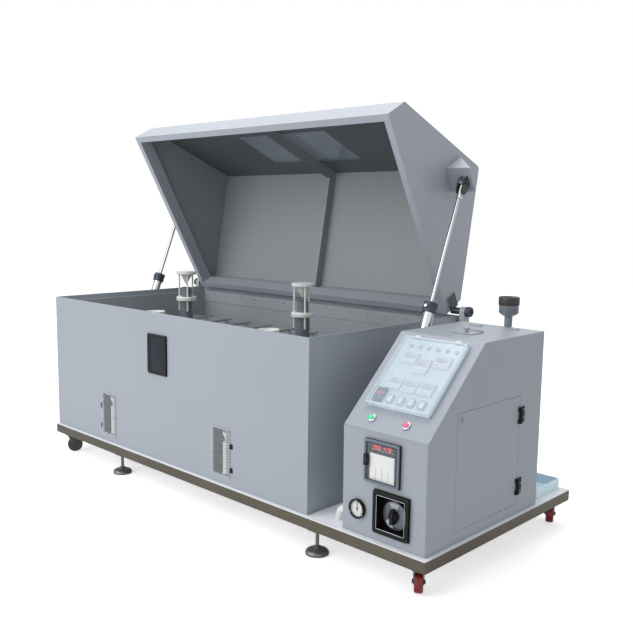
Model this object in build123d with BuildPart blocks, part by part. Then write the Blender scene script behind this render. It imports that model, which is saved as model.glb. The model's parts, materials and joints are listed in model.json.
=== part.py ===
from build123d import *
import os
from math import atan2, cos, hypot, radians, sin, tan

os.makedirs("parts", exist_ok=True)

# Salt fog test chamber with a gable lid, spray towers and a control cabinet on one wheeled base.
# Millimetres. Pieces are drawn from the tank's lower front left corner, where it stands on the
# tray: x runs along the tank, y towards the hinges, z up. The lid is drawn closed and turned open.

# Base and floor
floor_drop = 171            # floor below the tray's top
tray_sheet = 3
rail_height = 48
rail_width = 40
rail_wall = 3
base_right_reach = 17       # how far the base reaches past the cabinet on the right
base_rear_reach = 18        # past the tank at the rear
base_left = 2               # past the tank on the left
base_front = 19             # and past it in front
cross_rail_places = (660, 1400, 2070)

# Tank
tank_length = 2100
tank_depth = 1120
tank_height = 773
skin = 5                    # outer sheet
end_wall = 90               # whole wall at the two ends, seal channel included
side_wall = 60              # whole wall at front and rear
liner_sheet = 5
liner_floor_height = 40
liner_drop = 20             # the liner ends this much below the outer rim
channel_depth = 55          # seal channel, from the rim to its floor
strip_low = 680             # strip along the rear inside, with its row of screws
strip_high = 751
strip_sheet = 4
strip_pitch = 134
strip_screws = 14
screw_radius = 5
bearer_places = (150, 700, 1360, 1910)

# Lid
lid_end_gap = 45            # lid in from the tank's ends
lid_edge_gap = 13           # and from its front and rear
lid_rim_drop = 25           # closed rim below the tank's rim
skirt_height = 138
ridge_height = 575
rim_width = 35              # the lid's rim is a stout frame
rim_height = 75             # above it the skirt is as thin as the roof
roof_sheet = 10
open_angle = 61.4
hinge_inset = 7             # hinge axis in from the tank's rear face
hinge_rise = 24             # and above its rim
rib_width = 22
rib_depth = 50
window_length = 708
window_width = 340
window_middle = 1035
window_from_eave = 185
window_sheet = 6

# Lift cylinders, one past each end of the tank
lift_offset = 52            # cylinder axis out from the tank's end
lift_lug = (93, 650)        # upper pivot on the open lid: in front of the hinge axis, above it
lift_foot = (588, 606)      # lower pivot on the tank: in front of the hinge axis, below it
barrel_radius = 27
barrel_bore = 25
barrel_low = 45             # barrel's end cap above the lower pivot
gland_radius = 34
gland_height = 48
rod_radius = 10
rod_shown = 624             # upper pivot to the gland's face, open
piston_height = 30
eye_radius = 20
eye_width = 24
lug_sheet = 8
lug_pin_radius = 10
cheek_corners = ((-20, -8), (14, -44), (34, -50), (50, -40), (50, -16))
bracket_length = 130
bracket_reach = 137         # out from the lid's end
bracket_height = 138
bracket_sheet = 8
fitting_radius = 12         # fitting under the rod's eye, as thick as the eye
fitting_length = 52

# Hinges
pin_radius = 10
ear_width = 30
ear_depth = 50
ear_gap = 15                # ear's inner face out from the tank's end
ear_drop = 133              # how far down the tank's end the ear is fixed
knob_radius = 25
knob_width = 25
knob_rounding = 8
boss_radius = 18
hinge_plate = (80, 70, 6)   # plate that carries the boss on the lid's end

# Spray towers and fog collectors
tower_places = (556, 1527)
tower_depth = 545
tower_radius = 37.5
tower_top_radius = 30
tower_bore = 24
collar_radius = 58.5
collar_height = 24
collar_level = 759
mouth_rise = 56             # tube's mouth above the collar
post_count = 3
post_radius = 5
post_ring = 45
post_tail = 60              # length of a post that stays below the collar
cap_rise = 132              # cap's underside above the collar
cap_height = 17
cone_radius = 35
cone_height = 65
collector_places = (768, 1671)
collector_depth = 170
collector_top = 745
collector_radius = 52.5

# Specimen rack
rack_level = 560
rack_height = 40
rack_sheet = 8
rack_inset = 130            # rails in from the liner's front and rear
rod_count = 9
rack_rod_radius = 7

# Niches for the measuring cylinders
niche_places = (556, 1527)
niche_width = 116
niche_low = 45
niche_height = 222
niche_depth = 44
niche_sheet = 3
flask_radius = 17
flask_height = 158
flask_step = 10             # the cylinder stands to the right of the middle
cover_sheet = 4
cover_lap = 12              # cover past the cut-out, each side
niche_pin_y = -4.5
niche_pin_radius = 3.5
niche_knuckle = 12          # half the height of a fixed knuckle
niche_knob_radius = 7
niche_hinge_levels = (80, 196)

# Sight window
sight_place = 1023.5
sight_low = 454
sight_width = 161
sight_height = 207
sight_thickness = 6
sight_border = 20

# Cabinet
cabinet_gap = 197
cabinet_front = 7
cabinet_width = 420
cabinet_depth = 840
cabinet_height = 788
cabinet_front_height = 447
slope_run = 364
cabinet_sheet = 6
door_front = 193
door_length = 470
door_low = 48
door_height = 480
door_gap = 1.5
door_hinge_levels = (126, 442)
hinge_leaf = 36
hinge_height = 70
hinge_barrel = 7
hatch_place = (222, 545)
hatch_size = 100
hatch_sheet = 4
hatch_pin_radius = 3
top_pads = ((123, 764), (300, 778))

# Instruments on the slope, measured up the slope from its lower left corner
panel_left = 52
panel_low = 102
panel_width = 316
panel_length = 364
panel_sheet = 3
panel_cover_height = 25
panel_cover_sheet = 3
cover_hinge_places = (110, 310)
cover_pin_rise = 8
module_height = 10
display_modules = ((129, 362, 74, 56), (208, 330, 66, 72), (288, 362, 74, 56),
                   (129, 228, 70, 60), (207, 224, 70, 60), (285, 226, 70, 60))
dark_module = (92, 160, 46, 66)
lamp_count = 6
lamp_pitch = 45
lamp_row = 426
lamp_radius = 7
rocker_count = 4
rocker_pitch = 52
rocker_row = 150
rocker_width = 22
rocker_length = 32
rocker_body = 8
rocker_pin_radius = 1.5
button_places = (116, 288)
button_row = 50
button_radius = 12
bezel_width = 4
bezel_height = 7

# Instruments on the cabinet's front
recorder_place = (207.5, 325)
recorder_width = 173
recorder_height = 174
recorder_front = 10
recorder_depth = 120
flange = 12                 # instrument flanges past their cut-outs
gauge_place = (84, 108)
gauge_radius = 40
gauge_height = 14
regulator_place = (256, 126)
regulator_size = 176
regulator_recess = 40
regulator_plate = 5
dial_radius = 57.5
dial_step = (4, -6)         # dial's middle from the housing's
strap_level = 560           # strap that holds the filler pipe to the cabinet
strap_height = 20
filler_place = (226, 24)    # in from the cabinet's left side, and behind it
funnel_radius = 45.5
funnel_pipe = 16
funnel_low = 845            # cup's lower edge above the tray
funnel_high = 920
tub_place = (123, 58)       # in from the cabinet's left side, and behind it
tub_length = 270
tub_depth = 220
tub_height = 48
elbow_place = (75, 80, 50)  # its foot left of the cabinet, and its level there
elbow_radius = 18
saturator_place = (105, 640)

# Undercarriage
castor_inset_x = 65
castor_inset_y = 55
castor_plate = (110, 90, 5)
castor_headings = {"front_left": 60, "front_right": 125, "rear_left": 60, "rear_right": 116}
wheel_radius = 44
wheel_width = 36
castor_trail = 25
fork_sheet = 3
fork_head_radius = 30
kingpin_radius = 8
axle_radius = 5
foot_places = (626, 2131)
foot_inset = 54
foot_pad_radius = 52
foot_stem_radius = 8
foot_block = (60, 60, 16)

# Clearances
running_gap = 0.05          # a shaft in its bore
side_gap = 0.3              # faces that pass each other

cab_x = tank_length + cabinet_gap
cab_right = cab_x + cabinet_width
cab_rear = cabinet_front + cabinet_depth
base_right = cab_right + base_right_reach
base_rear = tank_depth + base_rear_reach
lid_left = lid_end_gap
lid_right = tank_length - lid_end_gap
lid_length = lid_right - lid_left
lid_front = lid_edge_gap
lid_rear = tank_depth - lid_edge_gap
lid_depth = lid_rear - lid_front
rim_level = tank_height - lid_rim_drop
hinge_y = tank_depth - hinge_inset
hinge_z = tank_height + hinge_rise
lean = radians(open_angle)
arm_reach = bracket_reach - lid_left


def opened(y, z):
    """where a point of the closed lid's end view stands once the lid has turned open"""
    dy, dz = y - hinge_y, z - hinge_z
    return hinge_y + dy * cos(lean) + dz * sin(lean), hinge_z - dy * sin(lean) + dz * cos(lean)


def closed(y, z):
    """the way back: a point of the open lid's end view, once the lid is shut"""
    dy, dz = y - hinge_y, z - hinge_z
    return hinge_y + dy * cos(lean) - dz * sin(lean), hinge_z + dy * sin(lean) + dz * cos(lean)


# The part's origin is on the floor, in the middle of the room that the open chamber takes up
ridge_y = (lid_front + lid_rear) / 2
ridge_level = rim_level + ridge_height
tank_x = (arm_reach - base_right) / 2
tank_y = (base_front - opened(ridge_y, ridge_level)[0]) / 2


def at(x, y, z):
    """a point measured from the tank's corner, as a point of the part"""
    return tank_x + x, tank_y + y, floor_drop + z


chamber = Plane(origin=at(0, 0, 0))
lid_origin = opened(0, 0)
lid_frame = Plane(origin=at(0, *lid_origin), x_dir=(1, 0, 0), z_dir=(0, sin(lean), cos(lean)))
along_x = (0, 90, 0)
along_y = (90, 0, 0)


def block(x0, x1, y0, y1, z0, z1, mode=Mode.ADD):
    """a box between two corners, in the frame of the piece being made"""
    with Locations(((x0 + x1) / 2, (y0 + y1) / 2, (z0 + z1) / 2)):
        Box(abs(x1 - x0), abs(y1 - y0), abs(z1 - z0), mode=mode)


def bar(x, y, z, radius, length, turn=(0, 0, 0), mode=Mode.ADD):
    """a round bar with its middle at x, y, z, upright unless it is turned"""
    with Locations((x, y, z)):
        Cylinder(radius, length, rotation=turn, mode=mode)


def turned(x, y, profile):
    """a round piece turned about the upright line at x, y from its half section"""
    with BuildPart() as piece:
        with BuildSketch(Plane(origin=(x, y, 0), x_dir=(1, 0, 0), z_dir=(0, -1, 0))):
            with BuildLine():
                Polyline(*profile, close=True)
            make_face()
        revolve(axis=Axis((x, y, 0), (0, 0, 1)))
    return piece.part


def sheet(frame, *limits):
    """one flat rectangular sheet"""
    with BuildPart(frame) as piece:
        block(*limits)
    return piece.part


def end_plane(x, angle=0.0, base=(0, 0)):
    """the upright plane across the tank at x, turned with the lid when an angle is given"""
    a = radians(angle)
    return Plane(origin=at(x, *base), x_dir=(0, cos(a), -sin(a)), z_dir=(1, 0, 0))


def outline(plane, points, thickness, hole=None):
    """a straight-sided sheet: the outline of its face on a plane, its thickness and a square hole"""
    with BuildPart() as piece:
        with BuildSketch(plane):
            with BuildLine():
                Polyline(*points, close=True)
            make_face()
            if hole:
                with Locations((hole[0] + hole[2] / 2, hole[1] + hole[3] / 2)):
                    Rectangle(hole[2], hole[3], mode=Mode.SUBTRACT)
        extrude(amount=thickness)
    return piece.part


def around(x, y, radius, count):
    """the centres of holes or posts spaced evenly about an upright line"""
    centres = []
    for n in range(count):
        arm = Vector(radius, 0, 0).rotate(Axis.Z, 90 + 360 * n / count)
        centres.append((x + arm.X, y + arm.Y))
    return centres


def save(name, *pieces):
    """write one node, made of one or several separate pieces"""
    solids = [solid for piece in pieces for solid in piece.solids()]
    node = Compound(solids)
    node.label = name
    export_step(node, f"parts/{name}.step")


# Base frame: rectangular tubes with end caps, castor plates and the nuts of the levelling feet
rail_low = -tray_sheet - rail_height
rail_high = -tray_sheet


def tube(x0, x1, y0, y1):
    """one rectangular tube of the frame, open at both ends"""
    gap_x, gap_y = (0, rail_wall) if x1 - x0 > y1 - y0 else (rail_wall, 0)
    with BuildPart(chamber) as piece:
        block(x0, x1, y0, y1, rail_low, rail_high)
        block(x0 + gap_x, x1 - gap_x, y0 + gap_y, y1 - gap_y, rail_low + rail_wall,
              rail_high - rail_wall, mode=Mode.SUBTRACT)
    return piece.part


inner_left = rail_width - base_left
inner_right = base_right - rail_width
inner_front = rail_width - base_front
inner_rear = base_rear - rail_width
frame_pieces = [
    tube(-base_left, base_right, -base_front, inner_front),
    tube(-base_left, base_right, inner_rear, base_rear),
    tube(-base_left, inner_left, inner_front, inner_rear),
    tube(inner_right, base_right, inner_front, inner_rear),
]
for x in cross_rail_places:
    frame_pieces.append(tube(x, x + rail_width, inner_front, inner_rear))
for x in (-base_left, base_right - rail_wall):
    for y in (-base_front, inner_rear):
        frame_pieces.append(sheet(chamber, x, x + rail_wall, y + rail_wall, y + rail_width - rail_wall,
                                  rail_low + rail_wall, rail_high - rail_wall))
castor_places = {
    "front_left": (castor_inset_x - base_left, castor_inset_y - base_front),
    "front_right": (base_right - castor_inset_x, castor_inset_y - base_front),
    "rear_left": (castor_inset_x - base_left, base_rear - castor_inset_y),
    "rear_right": (base_right - castor_inset_x, base_rear - castor_inset_y),
}
plate_length, plate_width, plate_sheet = castor_plate
plate_low = rail_low - plate_sheet
for x, y in castor_places.values():
    with BuildPart(chamber) as plate:
        block(x - plate_length / 2, x + plate_length / 2, y - plate_width / 2, y + plate_width / 2,
              plate_low, rail_low)
        bar(x, y, plate_low, kingpin_radius + running_gap, 3 * plate_sheet, mode=Mode.SUBTRACT)
    frame_pieces.append(plate.part)
foot_rows = {"front": foot_inset - base_front, "rear": base_rear - foot_inset}
foot_low = rail_low - foot_block[2]
for y in foot_rows.values():
    for x in foot_places:
        with BuildPart(chamber) as nut:
            block(x - foot_block[0] / 2, x + foot_block[0] / 2, y - foot_block[1] / 2,
                  y + foot_block[1] / 2, foot_low, rail_low)
            bar(x, y, foot_low, foot_stem_radius + running_gap, 3 * foot_block[2], mode=Mode.SUBTRACT)
        frame_pieces.append(nut.part)
save("base_frame", *frame_pieces)

with BuildPart(chamber) as tray:
    block(-base_left, base_right, -base_front, base_rear, -tray_sheet, 0)
    fillet(tray.edges().filter_by(Axis.Z), radius=6)
save("base_tray", tray.part)

# Castors: a fork with its kingpin and axle, and a wheel that runs on the axle
axle_level = wheel_radius - floor_drop
fork_high = plate_low - side_gap
fork_low = fork_high - 12
cheek_middle = wheel_width / 2 + 1 + fork_sheet / 2
for name, (x, y) in castor_places.items():
    swivel = Plane(origin=at(x, y, 0), x_dir=Vector(1, 0, 0).rotate(Axis.Z, castor_headings[name]),
                   z_dir=(0, 0, 1))
    with BuildPart(swivel) as fork:
        bar(0, 0, (fork_low + fork_high) / 2, fork_head_radius, fork_high - fork_low)
        bar(0, 0, (fork_low + rail_low + 8) / 2, kingpin_radius, rail_low + 8 - fork_low)
        bar(0, 0, rail_low + side_gap + 3, kingpin_radius + 5, 6)
        for side in (-1, 1):
            flank = Plane(origin=swivel.from_local_coords(Vector(0, side * cheek_middle, 0)),
                          x_dir=swivel.x_dir, z_dir=-swivel.y_dir)
            with BuildSketch(flank):
                with BuildLine():
                    Polyline((-22, fork_low + 6), (22, fork_low + 6), (castor_trail + 13, axle_level),
                             (castor_trail - 13, axle_level), close=True)
                make_face()
                with Locations((castor_trail, axle_level)):
                    Circle(13)
            extrude(amount=fork_sheet / 2, both=True)
            bar(castor_trail, side * (cheek_middle + fork_sheet / 2 + 2.5), axle_level, 8, 5, along_y)
        bar(castor_trail, 0, axle_level, axle_radius, 2 * cheek_middle, along_y)
    save(f"{name}_castor_fork", fork.part)
    with BuildPart(swivel) as wheel:
        bar(castor_trail, 0, axle_level, wheel_radius, wheel_width, along_y)
        fillet(wheel.edges().filter_by(GeomType.CIRCLE), radius=6)
        bar(castor_trail, 0, axle_level, axle_radius + running_gap, 2 * wheel_width, along_y,
            mode=Mode.SUBTRACT)
    save(f"{name}_castor_wheel", wheel.part)

# Levelling feet: a domed pad under a screwed stem
stem_top = rail_low - 2
for row, y in foot_rows.items():
    for side, x in zip(("left", "right"), foot_places):
        with BuildPart(chamber) as foot:
            add(turned(x, y, [(0, -floor_drop), (foot_pad_radius, -floor_drop),
                              (foot_pad_radius, 5 - floor_drop), (foot_pad_radius - 4, 8 - floor_drop),
                              (20, 15 - floor_drop), (14, 19 - floor_drop), (14, 34 - floor_drop),
                              (foot_stem_radius, 36 - floor_drop), (foot_stem_radius, stem_top),
                              (0, stem_top)]))
        save(f"{row}_{side}_foot", foot.part)

# Tank: four outer sheets; the front one is cut for the niches and the sight window
sight_left = sight_place - sight_width / 2
sight_right = sight_left + sight_width
sight_high = sight_low + sight_height
niche_high = niche_low + niche_height
with BuildPart(chamber) as front_panel:
    block(0, tank_length, 0, skin, 0, tank_height)
    for x in niche_places:
        block(x - niche_width / 2, x + niche_width / 2, -skin, 2 * skin, niche_low, niche_high,
              mode=Mode.SUBTRACT)
    block(sight_left + sight_border, sight_right - sight_border, -skin, 2 * skin,
          sight_low + sight_border, sight_high - sight_border, mode=Mode.SUBTRACT)
save("tank_panels", front_panel.part,
     sheet(chamber, 0, tank_length, tank_depth - skin, tank_depth, 0, tank_height),
     sheet(chamber, 0, skin, skin, tank_depth - skin, 0, tank_height),
     sheet(chamber, tank_length - skin, tank_length, skin, tank_depth - skin, 0, tank_height))

# Liner, its bearers, the floor of the seal channel and the strip screwed along the rear
liner_top = tank_height - liner_drop
liner_left = end_wall - liner_sheet
liner_right = tank_length - liner_left
liner_front = side_wall - liner_sheet
liner_rear = tank_depth - liner_front
floor_top = liner_floor_height + liner_sheet
channel_top = tank_height - channel_depth
channel_low = channel_top - liner_sheet
strip_front = liner_rear - liner_sheet - strip_sheet
liner = [
    sheet(chamber, liner_left, liner_right, liner_front, liner_rear, liner_floor_height, floor_top),
    sheet(chamber, liner_left, liner_right, liner_front, liner_front + liner_sheet, floor_top, liner_top),
    sheet(chamber, liner_left, liner_right, liner_rear - liner_sheet, liner_rear, floor_top, liner_top),
    sheet(chamber, liner_left, liner_left + liner_sheet, liner_front + liner_sheet,
          liner_rear - liner_sheet, floor_top, liner_top),
    sheet(chamber, liner_right - liner_sheet, liner_right, liner_front + liner_sheet,
          liner_rear - liner_sheet, floor_top, liner_top),
    sheet(chamber, skin, tank_length - skin, skin, liner_front, channel_low, channel_top),
    sheet(chamber, skin, tank_length - skin, liner_rear, tank_depth - skin, channel_low, channel_top),
    sheet(chamber, skin, liner_left, liner_front, liner_rear, channel_low, channel_top),
    sheet(chamber, liner_right, tank_length - skin, liner_front, liner_rear, channel_low, channel_top),
    sheet(chamber, end_wall, tank_length - end_wall, strip_front, strip_front + strip_sheet,
          strip_low, strip_high),
]
for x in bearer_places:
    liner.append(sheet(chamber, x, x + rail_width, liner_front, liner_rear, 0, liner_floor_height))
save("tank_liner", *liner)

# Niches: a shallow box behind each cut-out, with the fixed half of its cover's hinges
niche_back = skin + niche_depth
niche_pieces = []
cover_hinges = {}
for side, x in zip((-1, 1), niche_places):
    reach = niche_width / 2 + niche_sheet
    with BuildPart(chamber) as niche:
        block(x - reach, x + reach, skin, niche_back, niche_low - niche_sheet, niche_high + niche_sheet)
        block(x - niche_width / 2, x + niche_width / 2, 0, niche_back - niche_sheet, niche_low,
              niche_high, mode=Mode.SUBTRACT)
    niche_pieces.append(niche.part)
    pin_x = x + side * (niche_width / 2 + cover_lap + 2)
    cover_hinges[side] = pin_x
    for level in niche_hinge_levels:
        with BuildPart(chamber) as leaf:
            block(pin_x, pin_x + side * 14, -1.5, 0, level - niche_knuckle, level + niche_knuckle)
            bar(pin_x, niche_pin_y, level, niche_pin_radius, 2 * niche_knuckle)
            block(pin_x, pin_x + side * 2, niche_pin_y, 0, level - niche_knuckle, level + niche_knuckle)
        niche_pieces.append(leaf.part)
save("niche_boxes", *niche_pieces)
for side, name, x in ((-1, "left", niche_places[0]), (1, "right", niche_places[1])):
    pin_x = cover_hinges[side]
    near = pin_x - side * (niche_pin_radius + 1)
    far = x - side * (niche_width / 2 + cover_lap)
    with BuildPart(chamber) as cover:
        block(near, far, niche_pin_y - cover_sheet / 2, niche_pin_y + cover_sheet / 2, niche_low - 8,
              niche_high + 8)
        for level in niche_hinge_levels:
            for step in (-1, 1):
                middle = level + step * (niche_knuckle + side_gap + 5)
                bar(pin_x, niche_pin_y, middle, niche_pin_radius, 10)
                block(pin_x, near, niche_pin_y - cover_sheet / 2, niche_pin_y + cover_sheet / 2,
                      middle - 5, middle + 5)
        bar(far + side * 10, niche_pin_y - cover_sheet / 2 - 5, niche_low + 102, niche_knob_radius, 10,
            along_y)
    save(f"{name}_niche_cover", cover.part)

# Sight window: a black frame with a sunk pane and two upright bars
with BuildPart(chamber) as sight:
    block(sight_left, sight_right, -sight_thickness, 0, sight_low, sight_high)
    block(sight_left + sight_border + 1, sight_right - sight_border - 1, 0, 14,
          sight_low + sight_border + 1, sight_high - sight_border - 1)
    block(sight_left + sight_border + 5, sight_right - sight_border - 5, -sight_thickness, 8,
          sight_low + sight_border + 5, sight_high - sight_border - 5, mode=Mode.SUBTRACT)
    for step in (-30, 30):
        bar(sight_place + step, 5, (sight_low + sight_high) / 2, 5, sight_height - 2 * sight_border - 10)
save("sight_window", sight.part)

# Spray towers: stepped tube, collar, and a cap with an inverted cone on its posts
mouth_level = collar_level + collar_height + mouth_rise
cap_low = collar_level + collar_height + cap_rise
tubes = []
collars = []
for side, x in zip(("left", "right"), tower_places):
    with BuildPart(chamber) as tower:
        add(turned(x, tower_depth, [
            (tower_bore, floor_top), (tower_radius + 14, floor_top), (tower_radius + 14, floor_top + 12),
            (tower_radius, floor_top + 12), (tower_radius, collar_level),
            (tower_top_radius, collar_level), (tower_top_radius, mouth_level),
            (tower_bore, mouth_level)]))
    tubes.append(tower.part)
    with BuildPart(chamber) as collar:
        bar(x, tower_depth, collar_level + collar_height / 2, collar_radius, collar_height)
        chamfer(collar.edges().filter_by(GeomType.CIRCLE), length=2)
        bar(x, tower_depth, collar_level, tower_top_radius, 4 * collar_height, mode=Mode.SUBTRACT)
        for px, py in around(x, tower_depth, post_ring, post_count):
            bar(px, py, collar_level, post_radius + running_gap, 4 * collar_height, mode=Mode.SUBTRACT)
    collars.append(collar.part)
    with BuildPart(chamber) as head:
        add(turned(x, tower_depth, [
            (0, cap_low - cone_height), (cone_radius, cap_low), (collar_radius - 3, cap_low),
            (collar_radius, cap_low + 4), (collar_radius, cap_low + cap_height),
            (0, cap_low + cap_height)]))
        post_low = collar_level - post_tail
        for px, py in around(x, tower_depth, post_ring, post_count):
            bar(px, py, (post_low + cap_low + 1) / 2, post_radius, cap_low + 1 - post_low)
    save(f"{side}_tower_head", head.part)
save("spray_towers", *tubes)
save("tower_collars", *collars)

# Fog collectors: a funnel on a footed stem in the tank, and a measuring cylinder in each niche
neck = collector_top - 62
flask_top = niche_low + flask_height
flask_y = skin + (niche_depth - niche_sheet) / 2
collection = []
for x in collector_places:
    with BuildPart(chamber) as funnel:
        add(turned(x, collector_depth, [
            (0, floor_top), (45, floor_top), (45, floor_top + 8), (9, floor_top + 14), (9, neck),
            (collector_radius, collector_top - 12), (collector_radius, collector_top),
            (collector_radius - 3, collector_top), (collector_radius - 3, collector_top - 11),
            (5, neck + 4), (0, neck + 4)]))
    collection.append(funnel.part)
for x in niche_places:
    with BuildPart(chamber) as flask:
        add(turned(x + flask_step, flask_y, [
            (0, niche_low), (flask_radius + 2, niche_low), (flask_radius + 2, niche_low + 5),
            (flask_radius, niche_low + 5), (flask_radius, flask_top), (6, flask_top),
            (6, flask_top + 14), (flask_radius + 1, flask_top + 38), (flask_radius + 1, flask_top + 48),
            (flask_radius - 1, flask_top + 48), (flask_radius - 1, flask_top + 39), (4, flask_top + 18),
            (0, flask_top + 18)]))
    collection.append(flask.part)
save("fog_collectors", *collection)

# Specimen rack: two notched rails on wall brackets, with rods laid across them
rail_rows = (side_wall + rack_inset, tank_depth - side_wall - rack_inset)
rod_pitch = (tank_length - 2 * end_wall) / (rod_count + 1)
rod_centres = [end_wall + rod_pitch * (n + 1) for n in range(rod_count)]
rack_top = rack_level + rack_height
rack = []
for y in rail_rows:
    with BuildPart(chamber) as rail:
        block(end_wall, tank_length - end_wall, y - rack_sheet / 2, y + rack_sheet / 2, rack_level, rack_top)
        for x in rod_centres:
            bar(x, y, rack_top, rack_rod_radius, 2 * rack_sheet, along_y, mode=Mode.SUBTRACT)
    rack.append(rail.part)
    for x in (end_wall, tank_length - end_wall - rail_width):
        rack.append(sheet(chamber, x, x + rail_width, y - 20, y + 20, rack_level - rack_sheet, rack_level))
for x in rod_centres:
    with BuildPart(chamber) as cross_rod:
        bar(x, tank_depth / 2, rack_top, rack_rod_radius, rail_rows[1] - rail_rows[0] + 60, along_y)
    rack.append(cross_rod.part)
save("specimen_rack", *rack)

# Lid rim: a stout frame of four rails; the long ones carry the thin skirt up to the roof
roof_angle = atan2(ridge_height - skirt_height, lid_depth / 2)
roof_drop = roof_sheet / cos(roof_angle)
eave_level = rim_level + skirt_height
rim_top = rim_level + rim_height
skirt_top = eave_level - roof_drop + roof_sheet * tan(roof_angle)


def long_rail(edge, inward):
    """front or rear rail of the rim; inward is +1 at the front and -1 at the rear"""
    skirt_inner = edge + inward * roof_sheet
    return outline(end_plane(lid_left, open_angle, lid_origin), [
        (edge, rim_level), (edge + inward * rim_width, rim_level), (edge + inward * rim_width, rim_top),
        (skirt_inner, rim_top), (skirt_inner, skirt_top), (edge, eave_level - roof_drop)], lid_length)


end_rail = (lid_front + rim_width, lid_rear - rim_width, rim_level, rim_top)
save("lid_rim", long_rail(lid_front, 1), long_rail(lid_rear, -1),
     sheet(lid_frame, lid_left, lid_left + rim_width, *end_rail),
     sheet(lid_frame, lid_right - rim_width, lid_right, *end_rail))

# Lid shell: two gables, two roof sheets that meet at the ridge, and a rib under them
window_slope = window_from_eave + window_width / 2
skirt_front = lid_front + roof_sheet
skirt_rear = lid_rear - roof_sheet
window_spot = opened(lid_front + window_slope * cos(roof_angle), eave_level + window_slope * sin(roof_angle))
window_plane = Plane(origin=at(window_middle, *window_spot), x_dir=(1, 0, 0),
                     z_dir=(0, -sin(roof_angle - lean), cos(roof_angle - lean)))


def gable(x):
    """one end sheet from the end rail up to the roof's slopes"""
    return outline(end_plane(x, open_angle, lid_origin), [
        (skirt_front, rim_top), (skirt_rear, rim_top), (skirt_rear, skirt_top),
        (ridge_y, ridge_level - roof_drop), (skirt_front, skirt_top)], roof_sheet)


def roof(eave_y):
    """one sloping roof sheet from its eave to the ridge, its edges cut upright"""
    return outline(end_plane(lid_left, open_angle, lid_origin), [
        (eave_y, eave_level), (ridge_y, ridge_level), (ridge_y, ridge_level - roof_drop),
        (eave_y, eave_level - roof_drop)], lid_length)


with BuildPart() as window_roof:
    add(roof(lid_front))
    with BuildSketch(window_plane):
        Rectangle(window_length, window_width)
    extrude(amount=4 * roof_sheet, both=True, mode=Mode.SUBTRACT)
rib_drop = roof_drop + rib_depth / cos(roof_angle)
rib_rise = rim_width * tan(roof_angle)
rib = outline(end_plane((tank_length - rib_width) / 2, open_angle, lid_origin), [
    (skirt_front, skirt_top), (ridge_y, ridge_level - roof_drop), (skirt_rear, skirt_top),
    (skirt_rear, rim_top), (lid_rear - rim_width, rim_top),
    (lid_rear - rim_width, eave_level - rib_drop + rib_rise), (ridge_y, ridge_level - rib_drop),
    (lid_front + rim_width, eave_level - rib_drop + rib_rise), (lid_front + rim_width, rim_top),
    (skirt_front, rim_top)], rib_width)
save("lid_shell", gable(lid_left), gable(lid_right - roof_sheet), window_roof.part, roof(lid_rear), rib)

with BuildPart() as window:
    with BuildSketch(window_plane.offset(-window_sheet)):
        Rectangle(window_length - 2 * running_gap, window_width - 2 * running_gap)
    extrude(amount=window_sheet / 2, both=True)
save("lid_window", window.part)

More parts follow.
